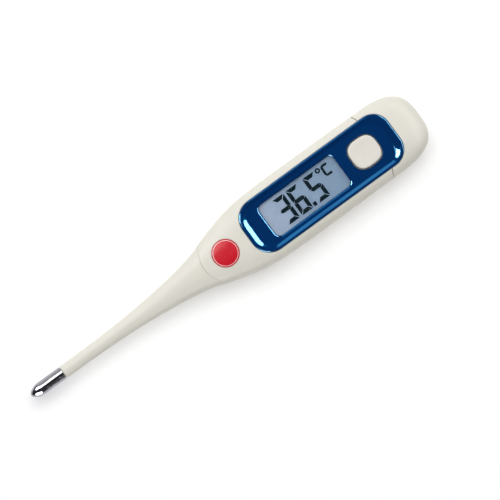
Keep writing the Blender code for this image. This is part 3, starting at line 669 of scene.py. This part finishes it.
def half_section(x, side, inset, levels, bow, soft):
    """Points over the upper (side 1) or lower (side -1) half of the section, with rounded edges."""
    turn = (0.0, math.pi) if side > 0 else (0.0, -math.pi)
    edge = SEAM_GAP / 2
    line = section_line(x, inset, levels, bow, turn, 4 * HALF_POINTS, soft)
    kept = [point for point in line if side * point[2] >= edge + LIP]
    first, last = kept[0], kept[-1]
    lips = []
    for end in (first, last):
        inward = -math.copysign(LIP, end[1])
        rise = [(inward * inside, along) for inside, along in quarter()[:-1]]
        lips.append([(end[0], end[1] + shift, side * (edge + LIP * along)) for shift, along in rise[::-1]])
    return lips[0][::-1] + even_points(kept, HALF_POINTS) + lips[1]


def shell_grids(side, inner_levels):
    """The outer and the inner grid of points of one housing shell, from the neck to the cap."""
    first, last = NECK_X + NECK_GAP / 2, CAP_X - SEAM_GAP / 2
    rows = [(first + NECK_LIP * along, NECK_LIP * inside, NECK_BOW) for along, inside in quarter()]
    rows += [(x, 0.0, bow_at(x)) for x in steps_between(first + 3 * NECK_LIP, last - 2 * LIP, 0.7)]
    rows += [(last - LIP * along, LIP * inside, CAP_BOW) for along, inside in reversed(quarter())]
    outer = [half_section(x, side, inset, (-BELLY, SPLIT * 2), bow, side < 0) for x, inset, bow in rows]
    inner = [half_section(x, side, WALL, inner_levels, bow, False) for x, _, bow in rows]
    return outer, inner


def bezel_outline(grow=0.0):
    ends, half = (BEZEL[0].x, BEZEL[1].x), BEZEL[1].y
    return rounded_outline(ends, half, BEZEL_RADII, grow - BEZEL_INSET)


def window_outline(grow=0.0):
    ends = (WINDOW[0].x + WINDOW_FLANGE, WINDOW[1].x - WINDOW_FLANGE)
    return rounded_outline(ends, WINDOW[1].y - WINDOW_FLANGE, (WINDOW_RADIUS, WINDOW_RADIUS), grow)


def button_outline(grow=0.0):
    centre = (BUTTON[0].x + BUTTON[1].x) / 2
    halves = (BUTTON[1].x - centre - BUTTON_FLANGE, BUTTON[1].y - BUTTON_FLANGE)
    return oval_outline(centre, halves, BUTTON_POWER, grow)


def badge_centre():
    return ((BADGE[0].x + BADGE[1].x) / 2, 0.0)


def badge_radius():
    return BADGE[1].y


def make_front_shell(looks):
    shell = thick_sheet(*shell_grids(1, (0.0, DECK_LOW)))
    ends, half = (TONGUE_START, BEZEL[1].x), BEZEL[1].y - TONGUE_INSET
    tongue = rounded_outline(ends, half, (TONGUE_CORNER, BEZEL_RADII[1]))
    glass = corners("lcd_front_glass")
    gap = 0.3
    length, width = [(glass[0][axis] - gap, glass[1][axis] + gap) for axis in (0, 1)]
    display = box(length, width, (0, DECK_TOP + 0.5))
    recess = flared_cutter(
        lambda grow: circle_outline(badge_centre(), badge_radius() + BADGE_GAP + grow), surface_height,
        BADGE_FILLET, surface_height(badge_centre()[0], badge_radius()) - BADGE_RECESS, 2 * SPLIT,
    )
    pocket = flared_cutter(
        lambda grow: bezel_outline(POCKET_GAP + grow), surface_height, POCKET_FILLET, DECK_TOP, 2 * SPLIT
    )
    cuts = [pocket, display, prism(button_outline(BUTTON_GAP), 0, DECK_TOP + 1), recess]
    joins = [prism(tongue, DECK_LOW + 0.05, DECK_TOP - 0.05)]
    add_piece("front_shell", shell, looks["ivory"], "body", ["front_housing"], cuts, joins)


def make_rear_shell(looks):
    shell = thick_sheet(*shell_grids(-1, (FLOOR, 0.0)))
    board_low = corners("circuit_board")[0].z - SPLIT
    levels = (FLOOR - 0.4, board_low - 0.1)
    ribs = [box((x, x + RIB_THICK), (-RIB_HALF, RIB_HALF), levels) for x in RIB_STATIONS]
    add_piece("rear_shell", shell, looks["ivory"], "body", ["rear_housing"], (), ribs)


def make_battery_lid(looks):
    seam = CAP_X + SEAM_GAP / 2
    rings = [
        section_ring(seam + LIP * along, LIP * inside, bow=CAP_BOW, soft=True)
        for along, inside in quarter()
    ]
    front_part = steps_between(seam + 2 * LIP, TAIL_START, 0.7)
    rings += [section_ring(x, bow=bow_at(x), soft=True) for x in front_part]
    tail = [TAIL_START + (TAIL_X - TAIL_START) * math.sin(math.pi / 2 * k / 30) for k in range(1, 30)]
    rings += [section_ring(x, soft=True) for x in tail]
    rings.append([(TAIL_X, 0.0, 0.0)])
    levels = (FLOOR, CAVITY_TOP)
    rings.append([(CAVITY_STATIONS[0], 0.0, (FLOOR + CAVITY_TOP) / 2)])
    rings += [section_ring(x, WALL, levels) for x in CAVITY_STATIONS]
    rings.append(section_ring(seam, WALL, levels, CAP_BOW))
    notch = flared_cutter(
        lambda grow: bezel_outline(POCKET_GAP + grow), surface_height, POCKET_FILLET, NOTCH_LOW, 2 * SPLIT
    )
    add_piece("battery_lid", loft(rings, loop=True), looks["ivory"], "cover",
              ["battery_cover"], [notch])


# ---------------------------------------------------------------- bezel, window, badge and button

def panel_outline(grow=0.0):
    near, side, far = PANEL_INSETS
    ends = (BEZEL[0].x + near, BEZEL[1].x - far)
    return rounded_outline(ends, BEZEL[1].y - side, PANEL_RADII, grow)


def slope_fall(part):
    """How far the slope has come down: it rounds over, runs straight and eases out on to the panel."""
    over, out = SLOPE_STRAIGHT
    steepness = 2 / (1 + out - over)
    if part < over:
        return steepness * part * part / (2 * over)
    if part < out:
        return steepness * (part - over / 2)
    return 1 - steepness * (1 - part) ** 2 / (2 * (1 - out))


def make_bezel_frame(looks):
    """The blue frame: a rolled rim that follows the crown, a slope inward and a flat panel."""
    low = BEZEL[0].z - SPLIT
    shoulder_drop = 0.1
    outer = bezel_outline()
    crest = bezel_outline(-RIM_INSET)
    panel = panel_outline()
    rings = [at_height(outer, low), at_height(outer, low + 0.4)]
    for k in range(9):
        angle = math.pi / 2 * k / 8
        ring = []
        for (ax, ay), (bx, by) in zip(outer, crest):
            start = surface_height(ax, ay) - shoulder_drop
            end = surface_height(bx, by) + RIM_RISE
            inward = 1 - math.cos(angle)
            height = start + (end - start) * math.sin(angle)
            ring.append((ax + (bx - ax) * inward, ay + (by - ay) * inward, height))
        rings.append(ring)
    steps = 20
    for k in range(1, steps + 1):
        part = k / steps
        fall = slope_fall(part)
        ring = []
        for (x, y), (bx, by) in zip(mix_outline(crest, panel, part), crest):
            start = surface_height(bx, by) + RIM_RISE
            ring.append((x, y, start + (PANEL_TOP - start) * fall))
        rings.append(ring)
    rings.append(at_height(panel_outline(-0.12), PANEL_TOP))
    cuts = [
        flared_cutter(window_outline, lambda x, y: PANEL_TOP, WINDOW_LIP, 0, 2 * SPLIT),
        prism(window_outline(WINDOW_FLANGE + 0.2), 0, REBATE_TOP),
        flared_cutter(lambda grow: button_outline(BUTTON_GAP + grow), lambda x, y: PANEL_TOP, BUTTON_LIP, 0,
                      2 * SPLIT),
    ]
    add_piece("bezel_frame", loft(rings), looks["blue"], "body", ["bezel"], cuts)


def make_window_lens(looks):
    low, flange_top, top = WINDOW[0].z - SPLIT, 4.45, WINDOW[1].z - SPLIT
    edge = 0.15
    flange, boss = window_outline(WINDOW_FLANGE), -WINDOW_GAP
    rings = [at_height(flange, low), at_height(flange, flange_top)]
    rings += [at_height(window_outline(boss), flange_top), at_height(window_outline(boss), top - edge)]
    rings += [
        at_height(window_outline(boss - edge * along), top - edge * inside)
        for along, inside in quarter()[1:]
    ]
    rings.append(at_height(window_outline(boss - 2 * edge), top))
    add_piece("window_lens", loft(rings), looks["clear"], "body", ["display_window"])


def make_badge(looks):
    """A domed round inlay with a thin pale ring near its edge. It carries no mark."""
    centre, radius = badge_centre(), badge_radius()
    base, dome = 0.5, 0.06

    def ring_at(part, lift):
        if part == 0:
            return [(*centre, surface_height(*centre) + lift)]
        outline = circle_outline(centre, radius * part)
        return [(x, y, surface_height(x, y) + lift) for x, y in outline]

    low = [ring_at(part, -base) for part in (0, 0.5, 1.0)]
    side = [ring_at(1.0, -0.06), ring_at(0.995, -0.02), ring_at(0.98, 0.02)]
    top = [ring_at(part, dome * (1 - part ** 4)) for part in (0.95, 0.9, 0.82, 0.7, 0.55, 0.4, 0.2, 0)]
    add_piece("round_badge", loft(low + side + top), looks["red"], "body", ["badge"])
    parts = (0.88, 0.885, 0.915, 0.92)
    lifts = (0.0, INK, INK, 0.0)
    band = [ring_at(part, dome * (1 - part ** 4) + lift) for part, lift in zip(parts, lifts)]
    add_piece("badge_ring", loft(band, loop=True), looks["ring"], "body")


def make_button_cap(looks):
    low, top = BUTTON[0].z - SPLIT, BUTTON[1].z - SPLIT
    flange_top = 2.85
    rings = [at_height(button_outline(BUTTON_FLANGE), z) for z in (low, flange_top)]
    rings += [at_height(button_outline(), z) for z in (flange_top, 3.8, top - BUTTON_ROUND)]
    rings += [
        at_height(button_outline(-BUTTON_ROUND * along), top - BUTTON_ROUND * inside)
        for along, inside in quarter(7)[1:]
    ]
    for part in (0.12, 0.25, 0.4, 0.55, 0.7, 0.85, 0.95):
        reach = (BUTTON[1].y - BUTTON_FLANGE - BUTTON_ROUND) * part
        dish = BUTTON_DISH * math.sin(math.pi / 2 * min(part / 0.6, 1.0)) ** 2
        rings.append(at_height(button_outline(-BUTTON_ROUND - reach), top - dish))
    add_piece("button_cap", loft(rings), looks["button"], "button", ["power_button"])


def make_membrane(looks):
    """The silicone skin under the button, with its rim under the deck and its floor below the button."""
    low, top = MEMBRANE[0].z - SPLIT, MEMBRANE[1].z - SPLIT
    centre, half = (MEMBRANE[0].x + MEMBRANE[1].x) / 2, MEMBRANE[1].y
    floor, wall, edge = low + 0.35, 0.55, 0.15

    def ring(grow, z):
        return at_height(oval_outline(centre, (half, half), BUTTON_POWER, grow), z)

    bends = quarter(3)
    sides = steps_between(floor + edge, top - edge, 0.1)
    slant = steps_between(0.0, MEMBRANE_CHAMFER, 0.17)
    rings = [ring(rise - MEMBRANE_CHAMFER, low + rise) for rise in slant]
    rings += [ring(0.0, z) for z in sides if z > low + MEMBRANE_CHAMFER + 0.02]
    rings += [ring(-edge * along, top - edge * inside) for along, inside in bends[1:]]
    rings += [ring(-wall + edge * inside, top - edge * along) for along, inside in bends]
    rings += [ring(-wall, z) for z in reversed(sides)]
    rings += [ring(-wall - edge * along, floor + edge * inside) for along, inside in bends[1:]]
    skin = add_piece("membrane", loft(rings), looks["silicone"], None, ["button_membrane"])
    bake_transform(skin)


# ---------------------------------------------------------------- battery bay

CARRIER_INSET, CARRIER_LEVELS = 1.65, (-4.0, 0.8)
CARRIER_ENDS, BAND_ENDS, BAND_DEPTH = (51.9, 64.2), (52.6, 54.6), 0.4
POCKET_TOP, SLOT_LOW, SLOT_TOP = 0.3, -0.1, 0.28
FOOT_ENDS, FOOT_SIDES = (44.0, 52.2), (-5.0, 5.0)
CONTACT_SLOTS = (
    ((50.0, 59.2), (-5.7, -3.5), (SLOT_LOW, SLOT_TOP)),
    ((50.0, 61.3), (3.5, 5.8), (SLOT_LOW, SLOT_TOP)),
    ((57.3, 61.3), (3.0, 4.5), (-3.4, SLOT_TOP)),
)


def rounded_band(ends, inset, levels, edge):
    """Rings round the body's section between two ends, with their edges rounded."""
    def ring(x, inside):
        shrink = edge * inside
        return section_ring(x, inset + shrink, (levels[0] + shrink, levels[1] - shrink))

    rings = [ring(ends[0] + edge * along, inside) for along, inside in quarter()]
    rings += [ring(x, 0.0) for x in steps_between(ends[0] + 2 * edge, ends[1] - 2 * edge, 0.8)]
    return rings + [ring(ends[1] - edge * along, inside) for along, inside in reversed(quarter())]


def make_battery_bay(looks):
    """What shows when the cover is off: the carrier, the rubber band in its groove and the cell."""
    low, top = CARRIER_LEVELS
    middle = (low + top) / 2
    groove = (BAND_ENDS[0] - 0.2, BAND_ENDS[1] + 0.2)
    waist = (CARRIER_INSET + BAND_DEPTH, (low + BAND_DEPTH, top - BAND_DEPTH))
    rings = [[(CARRIER_ENDS[0], 0.0, middle)]]
    rings += rounded_band((CARRIER_ENDS[0], groove[0]), CARRIER_INSET, CARRIER_LEVELS, 0.1)
    rings += [section_ring(x, *waist) for x in groove]
    rings += rounded_band((groove[1], CARRIER_ENDS[1]), CARRIER_INSET, CARRIER_LEVELS, 0.25)
    rings.append([(CARRIER_ENDS[1], 0.0, middle)])
    centre, radius = ((CELL[0].x + CELL[1].x) / 2, 0.0), CELL[1].y
    board_low = corners("circuit_board")[0].z - SPLIT
    foot = box(FOOT_ENDS, FOOT_SIDES, (low + 0.2, board_low - 0.5))
    cuts = [prism(circle_outline(centre, radius + 0.2), -2 * BELLY, POCKET_TOP)]
    cuts += [box(*slot) for slot in CONTACT_SLOTS]
    add_piece("battery_carrier", loft(rings), looks["frame"], "body", ["battery_holder"],
              cuts, [foot])
    band = rounded_band(BAND_ENDS, CARRIER_INSET - 0.15, (low - 0.3, top + 0.1), 0.25)
    inner = (CARRIER_INSET + BAND_DEPTH - 0.1, (low + BAND_DEPTH - 0.1, top - BAND_DEPTH + 0.1))
    band += [section_ring(x, *inner) for x in reversed(BAND_ENDS)]
    add_piece("seal_band", loft(band, loop=True), looks["silicone"], "body", ["cover_seal"])
    low, top = CELL[0].z - SPLIT, CELL[1].z - SPLIT
    can, lid = radius, radius - 0.45
    bends = quarter()
    cell = [(can - 0.25 * inside, low + 0.25 * along) for along, inside in bends]
    cell += [(can - 0.15 * along, top - 0.6 + 0.15 * (1 - inside)) for along, inside in bends]
    cell += [(lid, top - 0.45), (lid, top - 0.12)]
    cell += [(lid - 0.12 * along, top - 0.12 * inside) for along, inside in bends[1:]]
    rings = [at_height(circle_outline(centre, r), z) for r, z in cell]
    add_piece("button_cell", loft(rings), looks["cell"], "body", ["battery"])


# ---------------------------------------------------------------- display

SEGMENT = 1.2
SEGMENT_GAP = 0.17
DIGIT_WIDTHS = {"3": (19.45, 23.4), "6": (24.1, 28.05), "5": (29.95, 33.95)}
LIT = {"3": "abcdg", "6": "afgecd", "5": "afgcd"}
DISPLAY_LOW, DISPLAY_MIDDLE, DISPLAY_TOP = -4.1, 0.05, 4.2
POINT = (28.45, 29.5)
DEGREE_CENTRE, DEGREE_RADIUS, DEGREE_STROKE = (34.9, 3.6), 0.8, 0.48
UNIT_ENDS, UNIT_LEVELS, UNIT_STROKE, UNIT_CORNER = (35.95, 38.25), (0.65, 4.25), 0.7, 0.6
INK_LIFT = 0.005


def segment_shapes(left, right):
    """The seven segments of a digit between two x positions, as lists of (x, y) points."""
    low, middle, top = DISPLAY_LOW, DISPLAY_MIDDLE, DISPLAY_TOP
    thick, gap = SEGMENT, SEGMENT_GAP
    half = thick / 2

    def upright(side, inward, bottom, ceiling, cut_low, cut_top):
        inner = side + inward * thick * 0.95
        outside = [(side, ceiling - gap), (side, bottom + gap)]
        return outside + [(inner, bottom + cut_low), (inner, ceiling - cut_top)]

    return {
        "a": [
            (left + gap, top), (right - gap, top),
            (right - thick, top - thick), (left + thick, top - thick),
        ],
        "d": [
            (left + thick, low + thick), (right - thick, low + thick),
            (right - gap, low), (left + gap, low),
        ],
        "g": [
            (left + gap, middle), (left + half + gap, middle + half), (right - half - gap, middle + half),
            (right - gap, middle), (right - half - gap, middle - half), (left + half + gap, middle - half),
        ],
        "f": upright(left, 1, middle, top, half + gap, thick + gap),
        "b": upright(right, -1, middle, top, half + gap, thick + gap),
        "e": upright(left, 1, low, middle, thick + gap, half + gap),
        "c": upright(right, -1, low, middle, thick + gap, half + gap),
    }


def counterclockwise(points):
    area = sum(a[0] * b[1] - b[0] * a[1] for a, b in zip(points, points[1:] + points[:1]))
    return points if area > 0 else points[::-1]


def stroke_shape(points, width, round_steps=8):
    """The outline of a line of the given width with round ends, along the points."""
    sides = ([], [])
    for k, point in enumerate(points):
        before, after = points[max(k - 1, 0)], points[min(k + 1, len(points) - 1)]
        angle = math.atan2(after[1] - before[1], after[0] - before[0]) + math.pi / 2
        for side, reach in zip(sides, (width / 2, -width / 2)):
            side.append((point[0] + reach * math.cos(angle), point[1] + reach * math.sin(angle)))

    def cap(end, neighbour):
        facing = math.atan2(end[1] - neighbour[1], end[0] - neighbour[0])
        angles = [facing + math.pi / 2 - math.pi * k / round_steps for k in range(1, round_steps)]
        return [(end[0] + width / 2 * math.cos(a), end[1] + width / 2 * math.sin(a)) for a in angles]

    return sides[0] + cap(points[-1], points[-2]) + sides[1][::-1] + cap(points[0], points[1])


def unit_line():
    """The line along the letter C."""
    (left, right), (low, top), corner = UNIT_ENDS, UNIT_LEVELS, UNIT_CORNER
    inset = UNIT_STROKE / 2
    left, right, low, top = left + inset, right - inset, low + inset, top - inset
    upper = arc((left + corner, top - corner), corner, 90, 8)
    lower = arc((left + corner, low + corner), corner, 180, 8)
    return [(right, top)] + upper + lower + [(right, low)]


def make_digits(looks):
    base = FILM[1].z - SPLIT + INK_LIFT
    shapes = []
    for digit, (left, right) in DIGIT_WIDTHS.items():
        parts = segment_shapes(left, right)
        shapes += [parts[name] for name in LIT[digit]]
    low, high = DISPLAY_LOW, DISPLAY_LOW + SEGMENT
    shapes.append([(POINT[0], low), (POINT[1], low), (POINT[1], high), (POINT[0], high)])
    shapes.append(stroke_shape(unit_line(), UNIT_STROKE))
    bm = bmesh.new()
    for shape in shapes:
        add_solid(bm, prism(counterclockwise(shape), base, base + INK))
    outer, inner = DEGREE_RADIUS, DEGREE_RADIUS - DEGREE_STROKE
    ring = [
        at_height(circle_outline(DEGREE_CENTRE, radius, 32), base + lift)
        for radius, lift in ((outer, 0), (outer, INK), (inner, INK), (inner, 0))
    ]
    add_solid(bm, loft(ring, loop=True))
    add_piece("lcd_digits", bm, looks["ink"], "body")


def add_solid(bm, other):
    """Moves another solid's geometry into bm."""
    mesh = bpy.data.meshes.new("part")
    other.to_mesh(mesh)
    other.free()
    bm.from_mesh(mesh)
    bpy.data.meshes.remove(mesh)


# ---------------------------------------------------------------- inner parts that keep their CAD shape

CAD_LOOKS = {
    "switch_base": "epoxy", "controller_blob": "epoxy", "reference_resistor": "epoxy",
    "switch_plunger": "spring", "battery_contact_negative": "spring", "battery_contact_positive": "spring",
    "buzzer_spring_a": "spring", "buzzer_spring_b": "spring",
    "lcd_front_polarizer": "film", "lcd_reflector": "film",
    "lcd_front_glass": "glass", "lcd_rear_glass": "glass",
    "lcd_frame": "frame",
    "zebra_strip_a": "rubber", "zebra_strip_b": "rubber",
    "circuit_board": "laminate",
    "filter_capacitor_a": "amber", "filter_capacitor_b": "amber", "thermistor": "amber",
    "crystal_can": "cell",
    "buzzer_plate": "brass", "buzzer_ceramic": "ceramic", "thermal_adhesive": "ceramic",
    "thermistor_lead_a": "red_wire", "thermistor_lead_b": "black_wire",
}


def dress_cad_nodes(looks):
    for node, look in CAD_LOOKS.items():
        obj = frame["nodes"][node]
        obj.data.materials.clear()
        obj.data.materials.append(looks[look])


# ---------------------------------------------------------------- floor, light and camera

VIEW_TURN, VIEW_TILT = math.radians(36.06), math.radians(2.4)
VIEW_CENTRE = (6.5, -3.1)
FRAME_WIDTH = 140.9
LENS, SENSOR = 400.0, 36.0
WORLD_LEVELS = ((0.0, 0.13), (0.5, 0.46), (1.0, 0.58))  # brightness from the -Y side to the +Y side
MIRRORED_WORLD = (0.05, 0.05, 0.05, 1.0)


def make_floor():
    bm = bmesh.new()
    bmesh.ops.create_grid(bm, x_segments=1, y_segments=1, size=3.0)
    mesh = bpy.data.meshes.new("floor")
    bm.to_mesh(mesh)
    bm.free()
    floor = bpy.data.objects.new("floor", mesh)
    bpy.context.scene.collection.objects.link(floor)
    paper = surface_look(
        "floor_paper", (0.93, 0.93, 0.93), (0.8, 0.9), 400, 0.01, vary=0.003,
        Emission_Color=(1.0, 1.0, 1.0, 1.0), Emission_Strength=0.18,
    )
    mesh.materials.append(paper)


def add_light(name, direction, distance, size, energy, target=(0, 0, 6), mirrored=True, tint=(1, 1, 1)):
    """A rectangular lamp that looks at the target. Sizes are in millimetres.

    A mirrored lamp is only seen in gloss, and the others only light the surfaces.
    """
    lamp = bpy.data.lights.new(name, "AREA")
    lamp.shape = "RECTANGLE"
    lamp.size, lamp.size_y = size[0] * MM, size[1] * MM
    lamp.energy = energy
    lamp.color = tint
    obj = bpy.data.objects.new(name, lamp)
    bpy.context.scene.collection.objects.link(obj)
    away = Vector(direction).normalized()
    obj.location = (Vector(target) + away * distance) * MM
    obj.rotation_mode = "QUATERNION"
    obj.rotation_quaternion = away.to_track_quat("Z", "Y")
    obj.visible_glossy = mirrored
    obj.visible_diffuse = not mirrored
    obj.visible_transmission = not mirrored


def make_lights():
    add_light("key", (0.2, 0.3, 1.0), 900, (800, 700), 4.6, mirrored=False)
    add_light("end_strip", (1.0, 0.0, 0.78), 300, (440, 62), 2.3, target=(12, 0, 6))
    add_light("corner_strip", (-0.6, 0.55, 0.62), 400, (150, 120), 2.8, target=(54, -5, 6))
    add_light("side_panel", (0.0, 0.85, 0.6), 300, (90, 220), 0.17, target=(34, 0, 6), tint=(0.3, 0.75, 1))
    add_light("nose_spot", (-0.75, -0.65, 0.5), 200, (80, 80), 0.25, target=(-66, 0, 6))
    add_light("window_spot", (-0.7, -0.7, 0.3), 300, (150, 150), 1.4, target=(40, 5, 6))
    add_light("tip_strip", (0.0, 0.4, 0.9), 220, (60, 110), 0.12, target=(-66, 0, 6))
    add_light("tip_panel", (0.0, 1.0, 0.35), 220, (60, 150), 0.022, target=(-66, 0, 6))


def make_world():
    """Soft light from all round, weaker from -Y, that gloss mirrors as near darkness."""
    world = bpy.data.worlds.new("studio")
    bpy.context.scene.world = world
    world.use_nodes = True
    tree = world.node_tree
    place = tree.nodes.new("ShaderNodeTexCoord")
    split = tree.nodes.new("ShaderNodeSeparateXYZ")
    tree.links.new(place.outputs["Generated"], split.inputs["Vector"])
    across = tree.nodes.new("ShaderNodeMapRange")
    across.inputs["From Min"].default_value = -1.0
    tree.links.new(split.outputs["Y"], across.inputs["Value"])
    stops = [(part, (level, level, level * 1.02)) for part, level in WORLD_LEVELS]
    diffused = ramp_of(tree, across.outputs["Result"], stops)
    path = tree.nodes.new("ShaderNodeLightPath")
    mix = tree.nodes.new("ShaderNodeMix")
    mix.data_type = "RGBA"
    tree.links.new(path.outputs["Is Glossy Ray"], mix.inputs["Factor"])
    tree.links.new(diffused, mix.inputs[6])
    mix.inputs[7].default_value = MIRRORED_WORLD
    tree.links.new(mix.outputs[2], tree.nodes["Background"].inputs["Color"])


def make_camera():
    camera = bpy.data.cameras.new("camera")
    camera.lens = LENS
    camera.sensor_width = SENSOR
    camera.clip_start = 0.01
    obj = bpy.data.objects.new("camera", camera)
    bpy.context.scene.collection.objects.link(obj)
    back = Vector((0.0, -math.sin(VIEW_TILT), math.cos(VIEW_TILT)))
    along = Vector((1.0, 0.0, 0.0))
    across = back.cross(along)
    right = along * math.cos(VIEW_TURN) - across * math.sin(VIEW_TURN)
    up = back.cross(right)
    turn = Matrix((right, up, back)).transposed()
    obj.rotation_mode = "QUATERNION"
    obj.rotation_quaternion = turn.to_quaternion()
    distance = FRAME_WIDTH * LENS / SENSOR
    obj.location = (Vector((*VIEW_CENTRE, SPLIT)) + back * distance) * MM
    bpy.context.scene.camera = obj


for leftover in list(bpy.data.objects):
    if leftover.name in ("Cube", "Light", "Camera"):
        bpy.data.objects.remove(leftover, do_unlink=True)

make_camera()
LOOKS = make_looks()
make_sensor_tip(LOOKS)
make_probe_tube(LOOKS)
make_front_shell(LOOKS)
make_rear_shell(LOOKS)
make_battery_lid(LOOKS)
make_bezel_frame(LOOKS)
make_window_lens(LOOKS)
make_badge(LOOKS)
make_button_cap(LOOKS)
make_membrane(LOOKS)
make_battery_bay(LOOKS)
make_digits(LOOKS)
dress_cad_nodes(LOOKS)
make_floor()
make_lights()
make_world()
bpy.context.scene.view_settings.view_transform = "Standard"
